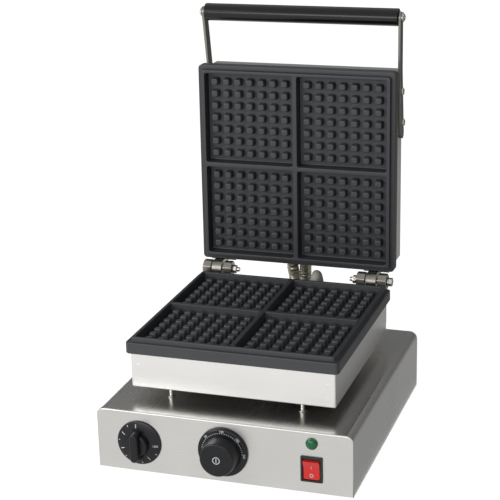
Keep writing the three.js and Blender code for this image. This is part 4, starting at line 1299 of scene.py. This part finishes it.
def build_camera():
    """The camera looks down on the front from the right, with a slight roll."""
    camera = bpy.data.cameras.new("camera")
    camera.lens, camera.sensor_width = 108.615, 36.0
    camera.clip_start, camera.clip_end = 0.1, 100
    holder = hold("camera", camera)
    azimuth, elevation, roll = (math.radians(a) for a in (18.575, 18.045, -1.376))
    back = Vector((math.sin(azimuth) * math.cos(elevation), -math.cos(azimuth) * math.cos(elevation),
                   math.sin(elevation)))
    right = (-back).cross(Vector((0, 0, 1))).normalized()
    up = right.cross(-back)
    turned_right = math.cos(roll) * right + math.sin(roll) * up
    turned_up = math.cos(roll) * up - math.sin(roll) * right
    axes = Matrix((turned_right, turned_up, back)).transposed().to_4x4()
    holder.matrix_world = Matrix.Translation((0.536256, -1.649947, 0.796366)) @ axes
    bpy.context.scene.camera = holder


def build_stage(sizes):
    scene = bpy.context.scene
    scene.view_settings.view_transform = "Standard"
    build_world()
    build_floor()
    build_cards()
    softbox("key_softbox", 30, (0.9, 0.9), (-1.5, -1.7, 1.2), (0, 0, 0.25))
    softbox("front_softbox", 17, (1.6, 0.7), (-0.2, -2.4, 0.7), (0, 0, 0.25))
    build_camera()


# ----------------------------------------------------------------- operators


def operator(name, label, doc, build):
    """An operator class that runs one build function and stops on any failure."""
    def execute(self, context):
        build(context.scene.baker_sizes)
        return {"FINISHED"}
    return type(f"BAKER_OT_{name}", (bpy.types.Operator,), {
        "bl_idname": f"baker.{name}", "bl_label": label, "__doc__": doc, "bl_options": {"REGISTER", "UNDO"},
        "execute": execute})


def build_finishes(sizes):
    make_finishes(bpy.context.scene.baker_colours)
    dress_plain_nodes()


OPERATORS = [
    operator("finishes", "Finishes", "Make every finish and put it on the plain nodes", build_finishes),
    operator("base_shell", "Base Shell", "Build the cover, control panel and corner laps", build_base_shell),
    operator("housings", "Cases", "Build the two sheet cases behind the plates", build_housings),
    operator("castings", "Castings", "Build the two plates and their pegs", build_castings),
    operator("hinges", "Hinges", "Build the forks, tongues, pins and nuts", build_hinges),
    operator("handle", "Handle", "Build the straps, their bolts and the grip", build_handle),
    operator("timer_knob", "Timer Knob", "Build the timer's dial and its marks", build_timer_knob),
    operator("thermostat_knob", "Thermostat Knob", "Build the numbered dial", build_thermostat_knob),
    operator("lamp", "Pilot Lamp", "Build the green lamp", build_lamp),
    operator("switch", "Rocker Switch", "Build the switch frame and its red key", build_switch),
    operator("hoses", "Hoses", "Build the ribbed hoses and their glands", build_hoses),
    operator("sleeve", "Lead Sleeving", "Build the sleeving over the heater leads", build_sleeve),
    operator("fixings", "Studs, Feet and Screws", "Build the small repeated fixings", build_fixings),
    operator("inlet", "Power Inlet", "Build the gland that the power lead enters by", build_inlet),
    operator("stage", "Stage", "Build the floor, lights and camera", build_stage),
]


class BAKER_PT_panel(bpy.types.Panel):
    """Buttons for every group of pieces"""
    bl_label = "Waffle Baker"
    bl_idname = "BAKER_PT_panel"
    bl_space_type = "VIEW_3D"
    bl_region_type = "UI"
    bl_category = "Waffle Baker"

    def draw(self, context):
        for settings in (context.scene.baker_sizes, context.scene.baker_colours):
            for name in settings.bl_rna.properties.keys():
                if name not in ("rna_type", "name"):
                    self.layout.prop(settings, name)
        for kind in OPERATORS:
            self.layout.operator(kind.bl_idname)


CLASSES = [BakerSizes, BakerColours, *OPERATORS, BAKER_PT_panel]


def register():
    for kind in CLASSES:
        bpy.utils.register_class(kind)
    bpy.types.Scene.baker_sizes = bpy.props.PointerProperty(type=BakerSizes)
    bpy.types.Scene.baker_colours = bpy.props.PointerProperty(type=BakerColours)


def unregister():
    del bpy.types.Scene.baker_sizes
    del bpy.types.Scene.baker_colours
    for kind in reversed(CLASSES):
        bpy.utils.unregister_class(kind)


def main():
    register()
    for kind in OPERATORS:
        group, name = kind.bl_idname.split(".")
        getattr(getattr(bpy.ops, group), name)()


if __name__ == "__main__":
    main()
